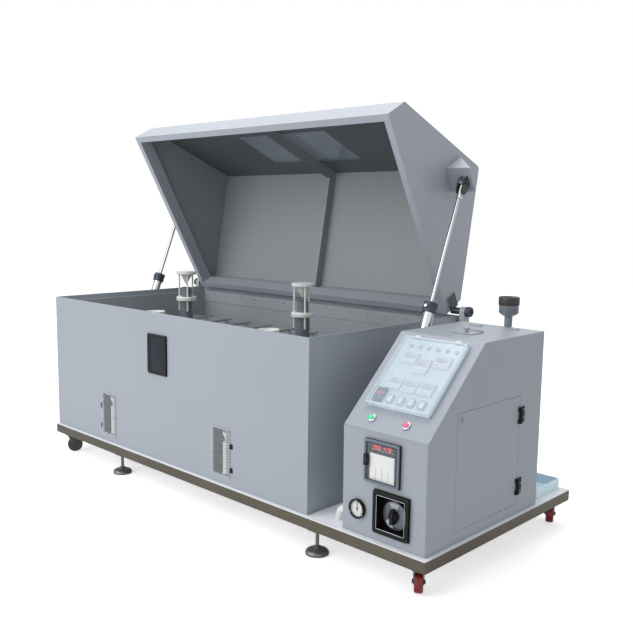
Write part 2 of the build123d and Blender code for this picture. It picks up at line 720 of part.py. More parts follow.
# At each end of the tank: lid bracket, hinge pin with its knob, hinge ear and cylinder foot
lug_y, lug_z = hinge_y - lift_lug[0], hinge_z + lift_lug[1]
lug_closed = closed(lug_y, lug_z)
shelf_level = lug_closed[1] + eye_radius + 6
foot_pivot_y, foot_pivot_z = hinge_y - lift_foot[0], hinge_z - lift_foot[1]
brackets = []
pins = []
end_brackets = []
for side, lid_end, tank_end in ((-1, lid_left, 0), (1, lid_right, tank_length)):
    axis_x = tank_end + side * lift_offset
    tip = lid_end + side * bracket_reach
    wedge_plane = Plane(origin=lid_frame.from_local_coords(
        Vector(0, lug_closed[0] - bracket_length / 2, 0)), x_dir=(1, 0, 0), z_dir=-lid_frame.y_dir)
    brackets.append(outline(wedge_plane, [
        (lid_end, shelf_level), (tip, shelf_level), (tip, shelf_level + bracket_sheet),
        (lid_end, shelf_level + bracket_height)], -bracket_length))
    for step in (-1, 1):
        cheek_inner = axis_x + step * (eye_width / 2 + side_gap)
        cheek_outer = cheek_inner + step * lug_sheet
        brackets.append(outline(
            end_plane(min(cheek_inner, cheek_outer), open_angle, lid_origin),
            [(lug_closed[0] + y, lug_closed[1] + z) for y, z in cheek_corners]
            + [(lug_closed[0] + 24, shelf_level), (lug_closed[0] - 20, shelf_level)], lug_sheet))
        with BuildPart(lid_frame) as pin_head:
            bar(cheek_outer + step * 3, *lug_closed, lug_pin_radius, 6, along_x)
        brackets.append(pin_head.part)
    ear_inner = tank_end + side * ear_gap
    ear_outer = ear_inner + side * ear_width
    knob_inner = ear_outer + side * side_gap
    knob_outer = knob_inner + side * knob_width
    boss_end = ear_inner - side * side_gap
    plate_depth, plate_rise, plate_thick = hinge_plate
    with BuildPart(lid_frame) as pin:
        bar((lid_end + knob_inner) / 2, hinge_y, hinge_z, pin_radius, abs(knob_inner - lid_end), along_x)
        bar((lid_end + boss_end) / 2, hinge_y, hinge_z, boss_radius, abs(boss_end - lid_end), along_x)
        block(lid_end, lid_end + side * plate_thick, hinge_y - plate_depth, hinge_y,
              hinge_z - boss_radius, hinge_z - boss_radius + plate_rise)
        with BuildPart(mode=Mode.PRIVATE) as knob:
            bar((knob_inner + knob_outer) / 2, hinge_y, hinge_z, knob_radius, knob_width, along_x)
            fillet(knob.edges().filter_by(GeomType.CIRCLE).sort_by(Axis.X)[-1 if side > 0 else 0],
                   radius=knob_rounding)
        add(knob.part)
    pins.append(pin.part)
    with BuildPart(chamber) as ear:
        with BuildSketch(end_plane(min(ear_inner, ear_outer))):
            with Locations((hinge_y, hinge_z)):
                Circle(ear_depth / 2)
            with Locations((hinge_y, hinge_z - (hinge_rise + ear_drop) / 2)):
                Rectangle(ear_depth, hinge_rise + ear_drop)
        extrude(amount=ear_width)
        block(tank_end, ear_inner, hinge_y - ear_depth / 2, tank_depth, tank_height - ear_drop,
              tank_height - 30)
        bar((ear_inner + ear_outer) / 2, hinge_y, hinge_z, pin_radius + running_gap, 2 * ear_width, along_x,
            mode=Mode.SUBTRACT)
    end_brackets.append(ear.part)
    near_face = axis_x - side * (eye_width / 2 + side_gap)
    far_face = axis_x + side * (eye_width / 2 + side_gap)
    with BuildPart(chamber) as foot_bracket:
        block(tank_end, near_face, foot_pivot_y - 30, foot_pivot_y + 30, foot_pivot_z - 34,
              foot_pivot_z + eye_radius)
        bar(axis_x, foot_pivot_y, foot_pivot_z, pin_radius, abs(far_face - near_face), along_x)
        bar(far_face + side * 4, foot_pivot_y, foot_pivot_z, pin_radius + 6, 8, along_x)
    end_brackets.append(foot_bracket.part)
save("lid_brackets", *brackets)
save("hinge_pins", *pins)
save("end_brackets", *end_brackets)

# Lift cylinders: barrel with gland and lower eye, rod with piston and upper eye
lift_length = hypot(lug_y - foot_pivot_y, lug_z - foot_pivot_z)
lift_lean = atan2(lug_y - foot_pivot_y, lug_z - foot_pivot_z)
barrel_top = lift_length - rod_shown
gland_low = barrel_top - gland_height
piston_top = gland_low - 6
for side, name, tank_end in ((-1, "left", 0), (1, "right", tank_length)):
    ram = Plane(origin=at(tank_end + side * lift_offset, foot_pivot_y, foot_pivot_z), x_dir=(1, 0, 0),
                z_dir=(0, sin(lift_lean), cos(lift_lean)))
    with BuildPart(ram) as barrel:
        bar(0, 0, (barrel_top + barrel_low) / 2, barrel_radius, barrel_top - barrel_low)
        bar(0, 0, (gland_low + barrel_top) / 2, gland_radius, gland_height)
        bar(0, 0, barrel_low + 15, gland_radius, 30)
        block(-eye_width / 2, eye_width / 2, -eye_radius, eye_radius, 0, barrel_low + 1)
        bar(0, 0, 0, eye_radius, eye_width, along_x)
        bar(0, 0, (barrel_low + 20 + gland_low) / 2, barrel_bore, gland_low - barrel_low - 20,
            mode=Mode.SUBTRACT)
        bar(0, 0, barrel_top, rod_radius + running_gap, 3 * gland_height, mode=Mode.SUBTRACT)
        bar(0, 0, 0, pin_radius + running_gap, 2 * eye_width, along_x, mode=Mode.SUBTRACT)
        bar(0, 1 - gland_radius, (gland_low + barrel_top) / 2, 7, 20, along_y)
        bar(0, 0, (gland_low + barrel_top) / 2, rod_radius + running_gap, gland_height,
            mode=Mode.SUBTRACT)
    save(f"{name}_lift_barrel", barrel.part)
    fitting_top = lift_length - eye_radius - 2
    with BuildPart(ram) as rod:
        bar(0, 0, (piston_top + lift_length) / 2, rod_radius, lift_length - piston_top)
        bar(0, 0, piston_top - piston_height / 2, barrel_bore - running_gap, piston_height)
        bar(0, 0, fitting_top - fitting_length / 2, fitting_radius, fitting_length)
        bar(0, 0, lift_length, eye_radius, eye_width, along_x)
    save(f"{name}_lift_rod", rod.part)

# Cabinet: six sheets; the right one is cut for the door, the front one for the instruments
slope_rise = cabinet_height - cabinet_front_height
slope_length = hypot(slope_run, slope_rise)
slope_frame = Plane(origin=at(cab_x, cabinet_front, cabinet_front_height), x_dir=(1, 0, 0),
                    z_dir=(0, -slope_rise / slope_length, slope_run / slope_length))
slope_drop = cabinet_sheet * slope_length / slope_run
slope_grade = slope_rise / slope_run
corner_y = cabinet_front + slope_run
inner_y = cabinet_front + cabinet_sheet
inner_z = cabinet_height - cabinet_sheet
slope_foot = cabinet_front_height - slope_drop + cabinet_sheet * slope_grade
slope_head = corner_y + (inner_z - (cabinet_height - slope_drop)) / slope_grade
door_rear = door_front + door_length
door_high = door_low + door_height


def cabinet_side(x, hole=None):
    """one side sheet, between front and rear sheets and under the slope and the top"""
    return outline(end_plane(x), [
        (inner_y, 0), (cab_rear - cabinet_sheet, 0), (cab_rear - cabinet_sheet, inner_z),
        (slope_head, inner_z), (inner_y, slope_foot)], cabinet_sheet, hole)


doorway = (door_front - door_gap, door_low - door_gap, door_length + 2 * door_gap,
           door_height + 2 * door_gap)
rec_x, rec_z = cab_x + recorder_place[0], recorder_place[1]
reg_x, reg_z = cab_x + regulator_place[0], regulator_place[1]
with BuildPart(chamber) as cabinet_face:
    block(cab_x, cab_right, cabinet_front, inner_y, 0, slope_foot - cabinet_sheet * slope_grade)
    for x, z, width, height in (
            (rec_x, rec_z, recorder_width - 2 * flange, recorder_height - 2 * flange),
            (reg_x, reg_z, regulator_size - 2 * flange, regulator_size - 2 * flange)):
        block(x - width / 2, x + width / 2, 0, 2 * inner_y, z - height / 2, z + height / 2,
              mode=Mode.SUBTRACT)
with BuildPart(slope_frame) as slope_sheet:
    with BuildSketch(end_plane(cab_x)):
        with BuildLine():
            Polyline((cabinet_front, cabinet_front_height), (corner_y, cabinet_height),
                     (corner_y, cabinet_height - slope_drop),
                     (cabinet_front, cabinet_front_height - slope_drop), close=True)
        make_face()
    extrude(amount=cabinet_width)
    for x in button_places:
        bar(x, button_row, 0, button_radius + bezel_width / 2, 6 * cabinet_sheet, mode=Mode.SUBTRACT)
hatch_x, hatch_y = cab_x + hatch_place[0], hatch_place[1]
hatch_hole = hatch_size / 2 - 8
hatch_low = cabinet_height + side_gap
hatch_high = hatch_low + hatch_sheet
hatch_pin_y = hatch_y + hatch_size / 2 + hatch_pin_radius
hatch_pin_z = hatch_high + hatch_pin_radius
with BuildPart(chamber) as cabinet_top:
    block(cab_x, cab_right, corner_y, cab_rear, inner_z, cabinet_height)
    block(hatch_x - hatch_hole, hatch_x + hatch_hole, hatch_y - hatch_hole, hatch_y + hatch_hole,
          inner_z - cabinet_sheet, cabinet_height + 1, mode=Mode.SUBTRACT)
    for x, y in top_pads:
        block(cab_x + x - 29, cab_x + x + 29, y - 10, y + 10, cabinet_height, cabinet_height + 5)
    for step in (-30, 30):
        block(hatch_x + step - 10, hatch_x + step + 10, hatch_pin_y - 1, hatch_pin_y + 9, cabinet_height,
              hatch_pin_z)
        bar(hatch_x + step, hatch_pin_y, hatch_pin_z, hatch_pin_radius, 20, along_x)
save("cabinet_panels", cabinet_face.part, slope_sheet.part, cabinet_top.part, cabinet_side(cab_x),
     cabinet_side(cab_right - cabinet_sheet, doorway),
     sheet(chamber, cab_x, cab_right, cab_rear - cabinet_sheet, cab_rear, 0, inner_z))

# Side door: its knuckles sit above and below the fixed ones
door_pin_x = cab_right + hinge_barrel + side_gap
door_pin_y = door_rear + door_gap / 2
fixed_knuckle = hinge_height / 2
end_knuckle = hinge_height / 4 - side_gap
leaves = []
with BuildPart(chamber) as door:
    block(cab_right - cabinet_sheet, cab_right, door_front, door_rear, door_low, door_high)
    bar(cab_right + 3, door_front + 34, door_high - 32, 9, 6, along_x)
    for level in door_hinge_levels:
        for step in (-1, 1):
            middle = level + step * (fixed_knuckle / 2 + side_gap + end_knuckle / 2)
            bar(door_pin_x, door_pin_y, middle, hinge_barrel, end_knuckle)
            block(cab_right, door_pin_x, door_rear - hinge_leaf / 3, door_pin_y, middle - end_knuckle / 2,
                  middle + end_knuckle / 2)
save("side_door", door.part)
for level in door_hinge_levels:
    with BuildPart(chamber) as leaf:
        block(cab_right, cab_right + 4, door_pin_y + hinge_barrel + 1, door_pin_y + hinge_leaf,
              level - hinge_height / 2, level + hinge_height / 2)
        block(cab_right, door_pin_x, door_pin_y, door_pin_y + hinge_barrel + 2, level - fixed_knuckle / 2,
              level + fixed_knuckle / 2)
        bar(door_pin_x, door_pin_y, level, hinge_barrel, fixed_knuckle)
    leaves.append(leaf.part)
save("door_hinges", *leaves)

# Hatch on the cabinet's top, with a lifting knob
with BuildPart(chamber) as hatch:
    block(hatch_x - hatch_size / 2, hatch_x + hatch_size / 2, hatch_y - hatch_size / 2,
          hatch_y + hatch_size / 2, hatch_low, hatch_high)
    bar(hatch_x, hatch_y - 10, hatch_high + 4, 6, 8)
    bar(hatch_x, hatch_y - 10, hatch_high + 15, 13, 14)
    fillet(hatch.edges().filter_by(GeomType.CIRCLE).sort_by(Axis.Z)[-1], radius=5)
    block(hatch_x - 18, hatch_x + 18, hatch_pin_y - 7, hatch_pin_y, hatch_high, hatch_pin_z)
    bar(hatch_x, hatch_pin_y, hatch_pin_z, hatch_pin_radius, 36, along_x)
save("hatch_lid", hatch.part)

# Instruments on the slope: a base sheet with its modules, lamps and rocker boxes
panel_right = panel_left + panel_width
panel_high = panel_low + panel_length
panel_middle = panel_left + panel_width / 2
inset = panel_cover_sheet + side_gap
instruments = [sheet(slope_frame, panel_left + inset, panel_right - inset, panel_low + inset,
                     panel_high - inset, 0, panel_sheet)]
for x, y, width, height in display_modules + (dark_module,):
    with BuildPart(slope_frame) as module:
        block(x - width / 2, x + width / 2, y - height / 2, y + height / 2, panel_sheet,
              panel_sheet + module_height)
        rim_edges = module.edges().group_by(Axis((0, 0, 0), slope_frame.z_dir))[-1]
        chamfer(rim_edges, length=2.5)
    instruments.append(module.part)
for n in range(lamp_count):
    with BuildPart(slope_frame) as lamp:
        bar(panel_middle + (n - (lamp_count - 1) / 2) * lamp_pitch, lamp_row, panel_sheet + 4,
            lamp_radius, 8)
    instruments.append(lamp.part)
rocker_places = [panel_middle + 18 + (n - (rocker_count - 1) / 2) * rocker_pitch
                 for n in range(rocker_count)]
rocker_pivot = panel_sheet + rocker_body
for x in rocker_places:
    half_width, half_length = rocker_width / 2, rocker_length / 2
    with BuildPart(slope_frame) as rocker_box:
        block(x - half_width - 3, x + half_width + 3, rocker_row - half_length - 3,
              rocker_row + half_length + 3, panel_sheet, rocker_pivot)
        block(x - half_width, x + half_width, rocker_row - half_length, rocker_row + half_length,
              panel_sheet + 1, rocker_pivot + 1, mode=Mode.SUBTRACT)
        bar(x, rocker_row, rocker_pivot - 4, rocker_pin_radius, rocker_width + 4, along_x)
    instruments.append(rocker_box.part)
for x in button_places:
    with BuildPart(slope_frame) as bezel:
        bar(x, button_row, bezel_height / 2, button_radius + bezel_width, bezel_height)
        bar(x, button_row, -cabinet_sheet, button_radius + bezel_width / 2, 2 * cabinet_sheet)
        bar(x, button_row, 0, button_radius + running_gap, 6 * bezel_height, mode=Mode.SUBTRACT)
    instruments.append(bezel.part)
hinge_row = panel_high + 9
for x in cover_hinge_places:
    with BuildPart(slope_frame) as cover_hinge:
        block(x - 10, x + 10, hinge_row - 5, hinge_row + 9, 0, 3)
        bar(x, hinge_row, cover_pin_rise, 5, 20, along_x)
        block(x - 10, x + 10, hinge_row, hinge_row + 5, 0, cover_pin_rise)
    instruments.append(cover_hinge.part)
save("panel_instruments", *instruments)

# Rockers turn a little about their middle; the buttons slide in their bezels
for n, x in enumerate(rocker_places):
    rocker_plane = Plane(origin=slope_frame.from_local_coords(Vector(x, 0, 0)), x_dir=slope_frame.y_dir,
                         z_dir=slope_frame.x_dir)
    half = rocker_length / 2 - 1
    with BuildPart(slope_frame) as rocker:
        with BuildSketch(rocker_plane):
            with BuildLine():
                Polyline((rocker_row - half, rocker_pivot - 2), (rocker_row, rocker_pivot - 6),
                         (rocker_row + half, rocker_pivot - 2), (rocker_row + half, rocker_pivot + 3),
                         (rocker_row, rocker_pivot + 1), (rocker_row - half, rocker_pivot + 3),
                         close=True)
            make_face()
        extrude(amount=rocker_width / 2 - side_gap, both=True)
        bar(x, rocker_row, rocker_pivot - 4, rocker_pin_radius + running_gap, rocker_width + 4, along_x,
            mode=Mode.SUBTRACT)
    save(f"rocker_switch_{n + 1}", rocker.part)
for name, x in zip(("green_button", "red_button"), button_places):
    with BuildPart(slope_frame) as button:
        bar(x, button_row, 0, button_radius, 26)
        fillet(button.edges().filter_by(GeomType.CIRCLE), radius=1.5)
    save(name, button.part)

# Clear cover over the panel, hinged along its upper edge
with BuildPart(slope_frame) as panel_cover:
    block(panel_left, panel_right, panel_low, panel_high, side_gap, panel_cover_height)
    block(panel_left + panel_cover_sheet, panel_right - panel_cover_sheet, panel_low + panel_cover_sheet,
          panel_high - panel_cover_sheet, 0, panel_cover_height - panel_cover_sheet, mode=Mode.SUBTRACT)
    for x in cover_hinge_places:
        for step in (-16, 16):
            bar(x + step, hinge_row, cover_pin_rise, 5, 11, along_x)
            block(x + step - 5.5, x + step + 5.5, panel_high, hinge_row, cover_pin_rise - 3,
                  cover_pin_rise + 3)
save("panel_cover", panel_cover.part)

# Chart recorder: a case in the front sheet, with a framed door hinged on the right
recorder_left = rec_x - recorder_width / 2
recorder_right = rec_x + recorder_width / 2
recorder_low = rec_z - recorder_height / 2
recorder_high = rec_z + recorder_height / 2
with BuildPart(chamber) as recorder:
    block(recorder_left + flange, recorder_right - flange, cabinet_front, cabinet_front + recorder_depth,
          recorder_low + flange, recorder_high - flange)
    block(recorder_left, recorder_right, cabinet_front - recorder_front, cabinet_front, recorder_low,
          recorder_high)
    block(recorder_left + 8, recorder_right - 8, cabinet_front - recorder_front, cabinet_front - 2,
          recorder_low + 8, recorder_high - 8, mode=Mode.SUBTRACT)
    block(recorder_left + 24, recorder_right - 24, cabinet_front - 9, cabinet_front - 2, recorder_low + 10,
          rec_z + 34)
    block(recorder_left + 30, recorder_right - 24, cabinet_front - 9, cabinet_front - 2, rec_z + 46,
          recorder_high - 14)
save("recorder_body", recorder.part)
door_back = cabinet_front - recorder_front - side_gap
with BuildPart(chamber) as recorder_door:
    block(recorder_left, recorder_right, door_back - 7, door_back, recorder_low, recorder_high)
    block(recorder_left + 9, recorder_right - 9, door_back - 4, door_back + 1, recorder_low + 9,
          recorder_high - 9, mode=Mode.SUBTRACT)
    block(recorder_left + 3, recorder_left + 23, door_back - 15, door_back - 6, rec_z - 20, rec_z + 26)
    bar(recorder_right, door_back - 3.5, rec_z, 3.5, recorder_height - 20)
save("recorder_door", recorder_door.part)

# Pressure gauge with its needle
gauge_x, gauge_z = cab_x + gauge_place[0], gauge_place[1]
gauge_front = cabinet_front - gauge_height
with BuildPart(chamber) as gauge:
    bar(gauge_x, cabinet_front - gauge_height / 2, gauge_z, gauge_radius, gauge_height, along_y)
    bar(gauge_x, gauge_front, gauge_z, gauge_radius - 7, 2 * (gauge_height - 4), along_y, mode=Mode.SUBTRACT)
    bar(gauge_x, cabinet_front - 6, gauge_z, 2, 8, along_y)
save("gauge_case", gauge.part)
needle_y = cabinet_front - 8
with BuildPart(chamber) as needle:
    bar(gauge_x, needle_y, gauge_z, 5, 2, along_y)
    block(gauge_x - 1.2, gauge_x + 1.2, needle_y - 1, needle_y + 1, gauge_z - 10, gauge_z + 27)
    bar(gauge_x, needle_y, gauge_z, 2 + running_gap, 8, along_y, mode=Mode.SUBTRACT)
save("gauge_needle", needle.part)

# Regulator: a deep square housing with a round dial knob on a spindle
regulator_half = regulator_size / 2
housing_back = cabinet_front + regulator_recess
dial_x, dial_z = reg_x + dial_step[0], reg_z + dial_step[1]
dial_back = housing_back - 24
with BuildPart(chamber) as regulator:
    block(reg_x - regulator_half, reg_x + regulator_half, cabinet_front - regulator_plate, cabinet_front,
          reg_z - regulator_half, reg_z + regulator_half)
    block(reg_x - regulator_half + flange, reg_x + regulator_half - flange, cabinet_front, housing_back,
          reg_z - regulator_half + flange, reg_z + regulator_half - flange)
    block(reg_x - regulator_half + flange + 4, reg_x + regulator_half - flange - 4,
          cabinet_front - 2 * regulator_plate, housing_back - 5, reg_z - regulator_half + flange + 4,
          reg_z + regulator_half - flange - 4, mode=Mode.SUBTRACT)
    bar(dial_x, housing_back - 14, dial_z, 9, 20, along_y)
save("regulator_housing", regulator.part)
with BuildPart(chamber) as dial:
    bar(dial_x, dial_back - side_gap - 2, dial_z, dial_radius, 4, along_y)
    bar(dial_x, dial_back - side_gap - 12, dial_z, 20, 18, along_y)
    block(dial_x - 8, dial_x + 8, dial_back - side_gap - 28, dial_back - side_gap - 4, dial_z - 30,
          dial_z + 30)
save("regulator_knob", dial.part)

# Filler funnel: a dark cup on a pipe that rises behind the cabinet
fill_x, fill_y = cab_x + filler_place[0], cab_rear + filler_place[1]
with BuildPart(chamber) as filler:
    add(turned(fill_x, fill_y, [
        (0, 0), (22, 0), (22, 5), (funnel_pipe, 9), (funnel_pipe, funnel_low - 59),
        (funnel_pipe + 2, funnel_low - 55),
        (funnel_pipe + 2, funnel_low - 14), (funnel_radius - 4, funnel_low),
        (funnel_radius - 2, funnel_low + 35),
        (funnel_radius, funnel_low + 39), (funnel_radius, funnel_high), (funnel_radius - 3, funnel_high),
        (funnel_radius - 3, funnel_low + 37), (funnel_radius - 8, funnel_low + 4), (0, funnel_low - 6)]))
    block(fill_x - 24, fill_x + 24, cab_rear, fill_y, strap_level, strap_level + strap_height)
save("filler_funnel", filler.part)

# Solution tub behind the cabinet; drain elbow from the cabinet's side down through the tray
tub_left = cab_x + tub_place[0]
tub_front = cab_rear + tub_place[1]
solution_tub_x = (tub_left, tub_left + tub_length)
solution_tub_y = (tub_front, tub_front + tub_depth)
with BuildPart(chamber) as tub:
    block(*solution_tub_x, *solution_tub_y, 0, tub_height)
    fillet(tub.edges().filter_by(Axis.Z), radius=12)
    block(solution_tub_x[0] + 6, solution_tub_x[1] - 6, solution_tub_y[0] + 6, solution_tub_y[1] - 6, 6,
          tub_height + 1, mode=Mode.SUBTRACT)
save("solution_tub", tub.part)
elbow_x, elbow_y, elbow_z = cab_x - elbow_place[0], elbow_place[1], elbow_place[2]
with BuildPart(chamber) as elbow:
    with BuildSketch(Plane(origin=at(elbow_x, elbow_y, 0), x_dir=(1, 0, 0), z_dir=(0, 0, 1))):
        Circle(elbow_radius)
    with BuildLine(Plane(origin=at(elbow_x, elbow_y, 0), x_dir=(1, 0, 0), z_dir=(0, -1, 0))):
        FilletPolyline((0, 0), (0, elbow_z), (cab_x - elbow_x, elbow_z), radius=elbow_radius + 8)
    sweep()
    bar(elbow_x, elbow_y, 9, elbow_radius + 6, 18)
    bar(cab_x - 9, elbow_y, elbow_z, elbow_radius + 6, 18, along_x)
save("drain_elbow", elbow.part)

# Air saturator inside the cabinet: a domed barrel on a foot ring
with BuildPart(chamber) as saturator:
    add(turned(cab_x + saturator_place[0], saturator_place[1], [
        (0, 0), (70, 0), (70, 30), (85, 55), (85, 470), (80, 492), (62, 512), (34, 524), (0, 528)]))
save("air_saturator", saturator.part)

# Screws, all with low round heads
screw_spots = [(end_wall + strip_pitch * (n + 0.8), strip_front, strip_high - 19)
               for n in range(strip_screws)]
for x in (sight_left + 9, sight_right - 9):
    for z in (sight_low + 9, sight_high - 9):
        screw_spots.append((x, -sight_thickness, z))
for x in (reg_x - regulator_half + 9, reg_x + regulator_half - 9):
    for z in (reg_z - regulator_half + 9, reg_z + regulator_half - 9):
        screw_spots.append((x, cabinet_front - regulator_plate, z))
for x, z in around(gauge_x, gauge_z, gauge_radius - 3.5, 3):
    screw_spots.append((x, gauge_front, z))
screw_heads = []
for n, (x, y, z) in enumerate(screw_spots):
    radius = 2.5 if y == gauge_front else screw_radius
    with BuildPart(chamber) as head:
        bar(x, y - 1.5, z, radius, 3, along_y)
        fillet(head.edges().filter_by(GeomType.CIRCLE).sort_by(Axis.Y)[0], radius=1)
    screw_heads.append(head.part)
save("panel_screws", *screw_heads)
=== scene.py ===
# %% [markdown]
# # A salt fog test chamber
#
# The chamber is a long tank of welded grey board under a gable lid, with a control cabinet beside
# it on one wheeled base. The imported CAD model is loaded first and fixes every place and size. What
# follows gives each surface its finish and adds the pieces that are too fine for the CAD model:
# rounded edges, weld beads, dials, lamps, rings and screws.

# %% Load the fixed frame
import json
import math

import bmesh
import bpy
import numpy as np
from mathutils import Matrix, Vector


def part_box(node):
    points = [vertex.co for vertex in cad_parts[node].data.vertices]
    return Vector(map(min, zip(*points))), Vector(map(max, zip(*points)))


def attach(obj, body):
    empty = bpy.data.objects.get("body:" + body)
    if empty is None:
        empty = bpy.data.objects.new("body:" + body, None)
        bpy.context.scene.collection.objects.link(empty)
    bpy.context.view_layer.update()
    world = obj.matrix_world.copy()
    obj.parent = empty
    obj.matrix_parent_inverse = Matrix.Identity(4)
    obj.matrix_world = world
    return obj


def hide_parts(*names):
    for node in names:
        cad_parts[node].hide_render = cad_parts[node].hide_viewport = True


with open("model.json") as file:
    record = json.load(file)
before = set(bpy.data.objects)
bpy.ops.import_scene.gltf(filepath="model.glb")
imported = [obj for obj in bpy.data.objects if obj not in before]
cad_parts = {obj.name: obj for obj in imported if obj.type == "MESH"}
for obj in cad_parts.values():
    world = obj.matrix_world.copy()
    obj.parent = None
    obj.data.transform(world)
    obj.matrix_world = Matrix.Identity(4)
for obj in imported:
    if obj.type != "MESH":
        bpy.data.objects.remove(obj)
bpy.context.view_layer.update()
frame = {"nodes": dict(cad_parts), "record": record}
NODES = frame["nodes"]

# %% [markdown]
# Colours are read off real boards and metals as screen values from 0 to 255. Shaders want linear
# light, so each value goes through the screen's curve once, here, and nowhere else.


# %% Colours
def screen(r, g, b):
    """Screen colour to linear light: low values are divided, the others follow a 2.4 power."""
    c = np.array([r, g, b], float) / 255
    linear = np.where(c <= 0.04045, c / 12.92, ((c + 0.055) / 1.055) ** 2.4)
    return (*linear.tolist(), 1.0)


BOARD = screen(158, 165, 175)
LID_BOARD = screen(166, 172, 182)
INNER_BOARD = screen(160, 166, 172)
PANEL_WHITE = screen(228, 236, 242)
print("board colour in linear light", [round(c, 3) for c in BOARD[:3]])

# %% [markdown]
# Three effects come back in many finishes: slow mottling of a moulded board, fine rubbed lines, and
# the long hair lines of brushed metal. Each is a node group made once. A group puts out plain
# numbers or colours only, and the shader itself stays in the material.


# %% Shared effects as node groups
def linked(name, data):
    """A new object in the scene."""
    thing = bpy.data.objects.new(name, data)
    bpy.context.scene.collection.objects.link(thing)
    return thing


def new_group(title, inputs, outputs):
    """An empty shader node group with its named sockets; returns the tree and its two end nodes."""
    tree = bpy.data.node_groups.new(title, "ShaderNodeTree")
    for name, kind, value in inputs:
        socket = tree.interface.new_socket(name=name, in_out="INPUT", socket_type=kind)
        if value is not None:
            socket.default_value = value
    for name, kind in outputs:
        tree.interface.new_socket(name=name, in_out="OUTPUT", socket_type=kind)
    return tree, tree.nodes.new("NodeGroupInput"), tree.nodes.new("NodeGroupOutput")


def wire(tree, source, target):
    """Join two sockets given as (node, socket name or number)."""
    tree.links.new(source[0].outputs[source[1]], target[0].inputs[target[1]])


def pattern(tree, kind, scale, stretch=(1, 1, 1), detail=3.0, source=None):
    """A noise, wave or cell pattern on object coordinates, stretched along the axes."""
    mapping = tree.nodes.new("ShaderNodeMapping")
    mapping.inputs["Scale"].default_value = stretch
    place = source or tree.nodes.new("ShaderNodeTexCoord")
    wire(tree, (place, "Object"), (mapping, "Vector"))
    node = tree.nodes.new(kind)
    node.inputs["Scale"].default_value = scale
    if "Detail" in node.inputs:
        node.inputs["Detail"].default_value = detail
    wire(tree, (mapping, "Vector"), (node, "Vector"))
    return node


def ramp(tree, low, high, dark, bright):
    """Spread the values between low and high over dark to bright."""
    node = tree.nodes.new("ShaderNodeMapRange")
    for name, value in (("From Min", low), ("From Max", high), ("To Min", dark), ("To Max",
          bright)):
        node.inputs[name].default_value = value
    return node


def calculation(tree, operation, *sources):
    """A maths node on numbers or on sockets given as (node, socket name or number)."""
    node = tree.nodes.new("ShaderNodeMath")
    node.operation = operation
    for index, source in enumerate(sources):
        if isinstance(source, tuple):
            wire(tree, source, (node, index))
        else:
            node.inputs[index].default_value = source
    return node


FLOAT, COLOUR = "NodeSocketFloat", "NodeSocketColor"


def build_mottle():
    """Colour times (1 + amount times slow noise), and the same noise for roughness."""
    tree, start, end = new_group(
        "mottle", [("Colour", COLOUR, (0.5, 0.5, 0.5, 1)), ("Amount", FLOAT, 0.06)],
        [("Colour", COLOUR), ("Value", FLOAT)])
    slow = pattern(tree, "ShaderNodeTexNoise", 2.2, detail=4)
    fine = pattern(tree, "ShaderNodeTexNoise", 60, detail=2)
    both = calculation(tree, "MULTIPLY_ADD", (fine, "Fac"), 0.25, (slow, "Fac"))
    centred = calculation(tree, "SUBTRACT", (both, 0), 0.625)
    gain = calculation(tree, "MULTIPLY_ADD", (centred, 0), (start, "Amount"), 1.0)
    tint = tree.nodes.new("ShaderNodeVectorMath")
    tint.operation = "SCALE"
    wire(tree, (start, "Colour"), (tint, 0))
    tree.links.new(gain.outputs[0], tint.inputs["Scale"])
    wire(tree, (tint, 0), (end, "Colour"))
    wire(tree, (both, 0), (end, "Value"))
    return tree


def build_relief(title, scale, stretch, detail):
    """Noise times a depth: brushed lines where its coordinates are squeezed along one axis."""
    tree, start, end = new_group(title, [("Depth", FLOAT, 0.5)], [("Height", FLOAT)])
    noise = pattern(tree, "ShaderNodeTexNoise", scale, stretch, detail)
    scaled = calculation(tree, "MULTIPLY", (noise, "Fac"), (start, "Depth"))
    wire(tree, (scaled, 0), (end, "Height"))
    return tree


GROUPS = {"mottle": build_mottle(),
          "hairlines": build_relief("hairlines", 130, (0.02, 1.0, 1.0), 2),
          "skin": build_relief("skin_texture", 420, (1, 1, 1), 1)}
print("effects", sorted(GROUPS))

# %% [markdown]
# Every finish on the chamber is one of two kinds. A solid finish mottles its colour, varies its
# gloss a little and has a skin or brushed lines. A clear finish lets light through by a lowered
# alpha.


# %% Finishes
def use_group(tree, name, **values):
    """Place one of the shared effects in a material and set its inputs."""
    node = tree.nodes.new("ShaderNodeGroup")
    node.node_tree = GROUPS[name]
    for key, value in values.items():
        node.inputs[key].default_value = value
    return node


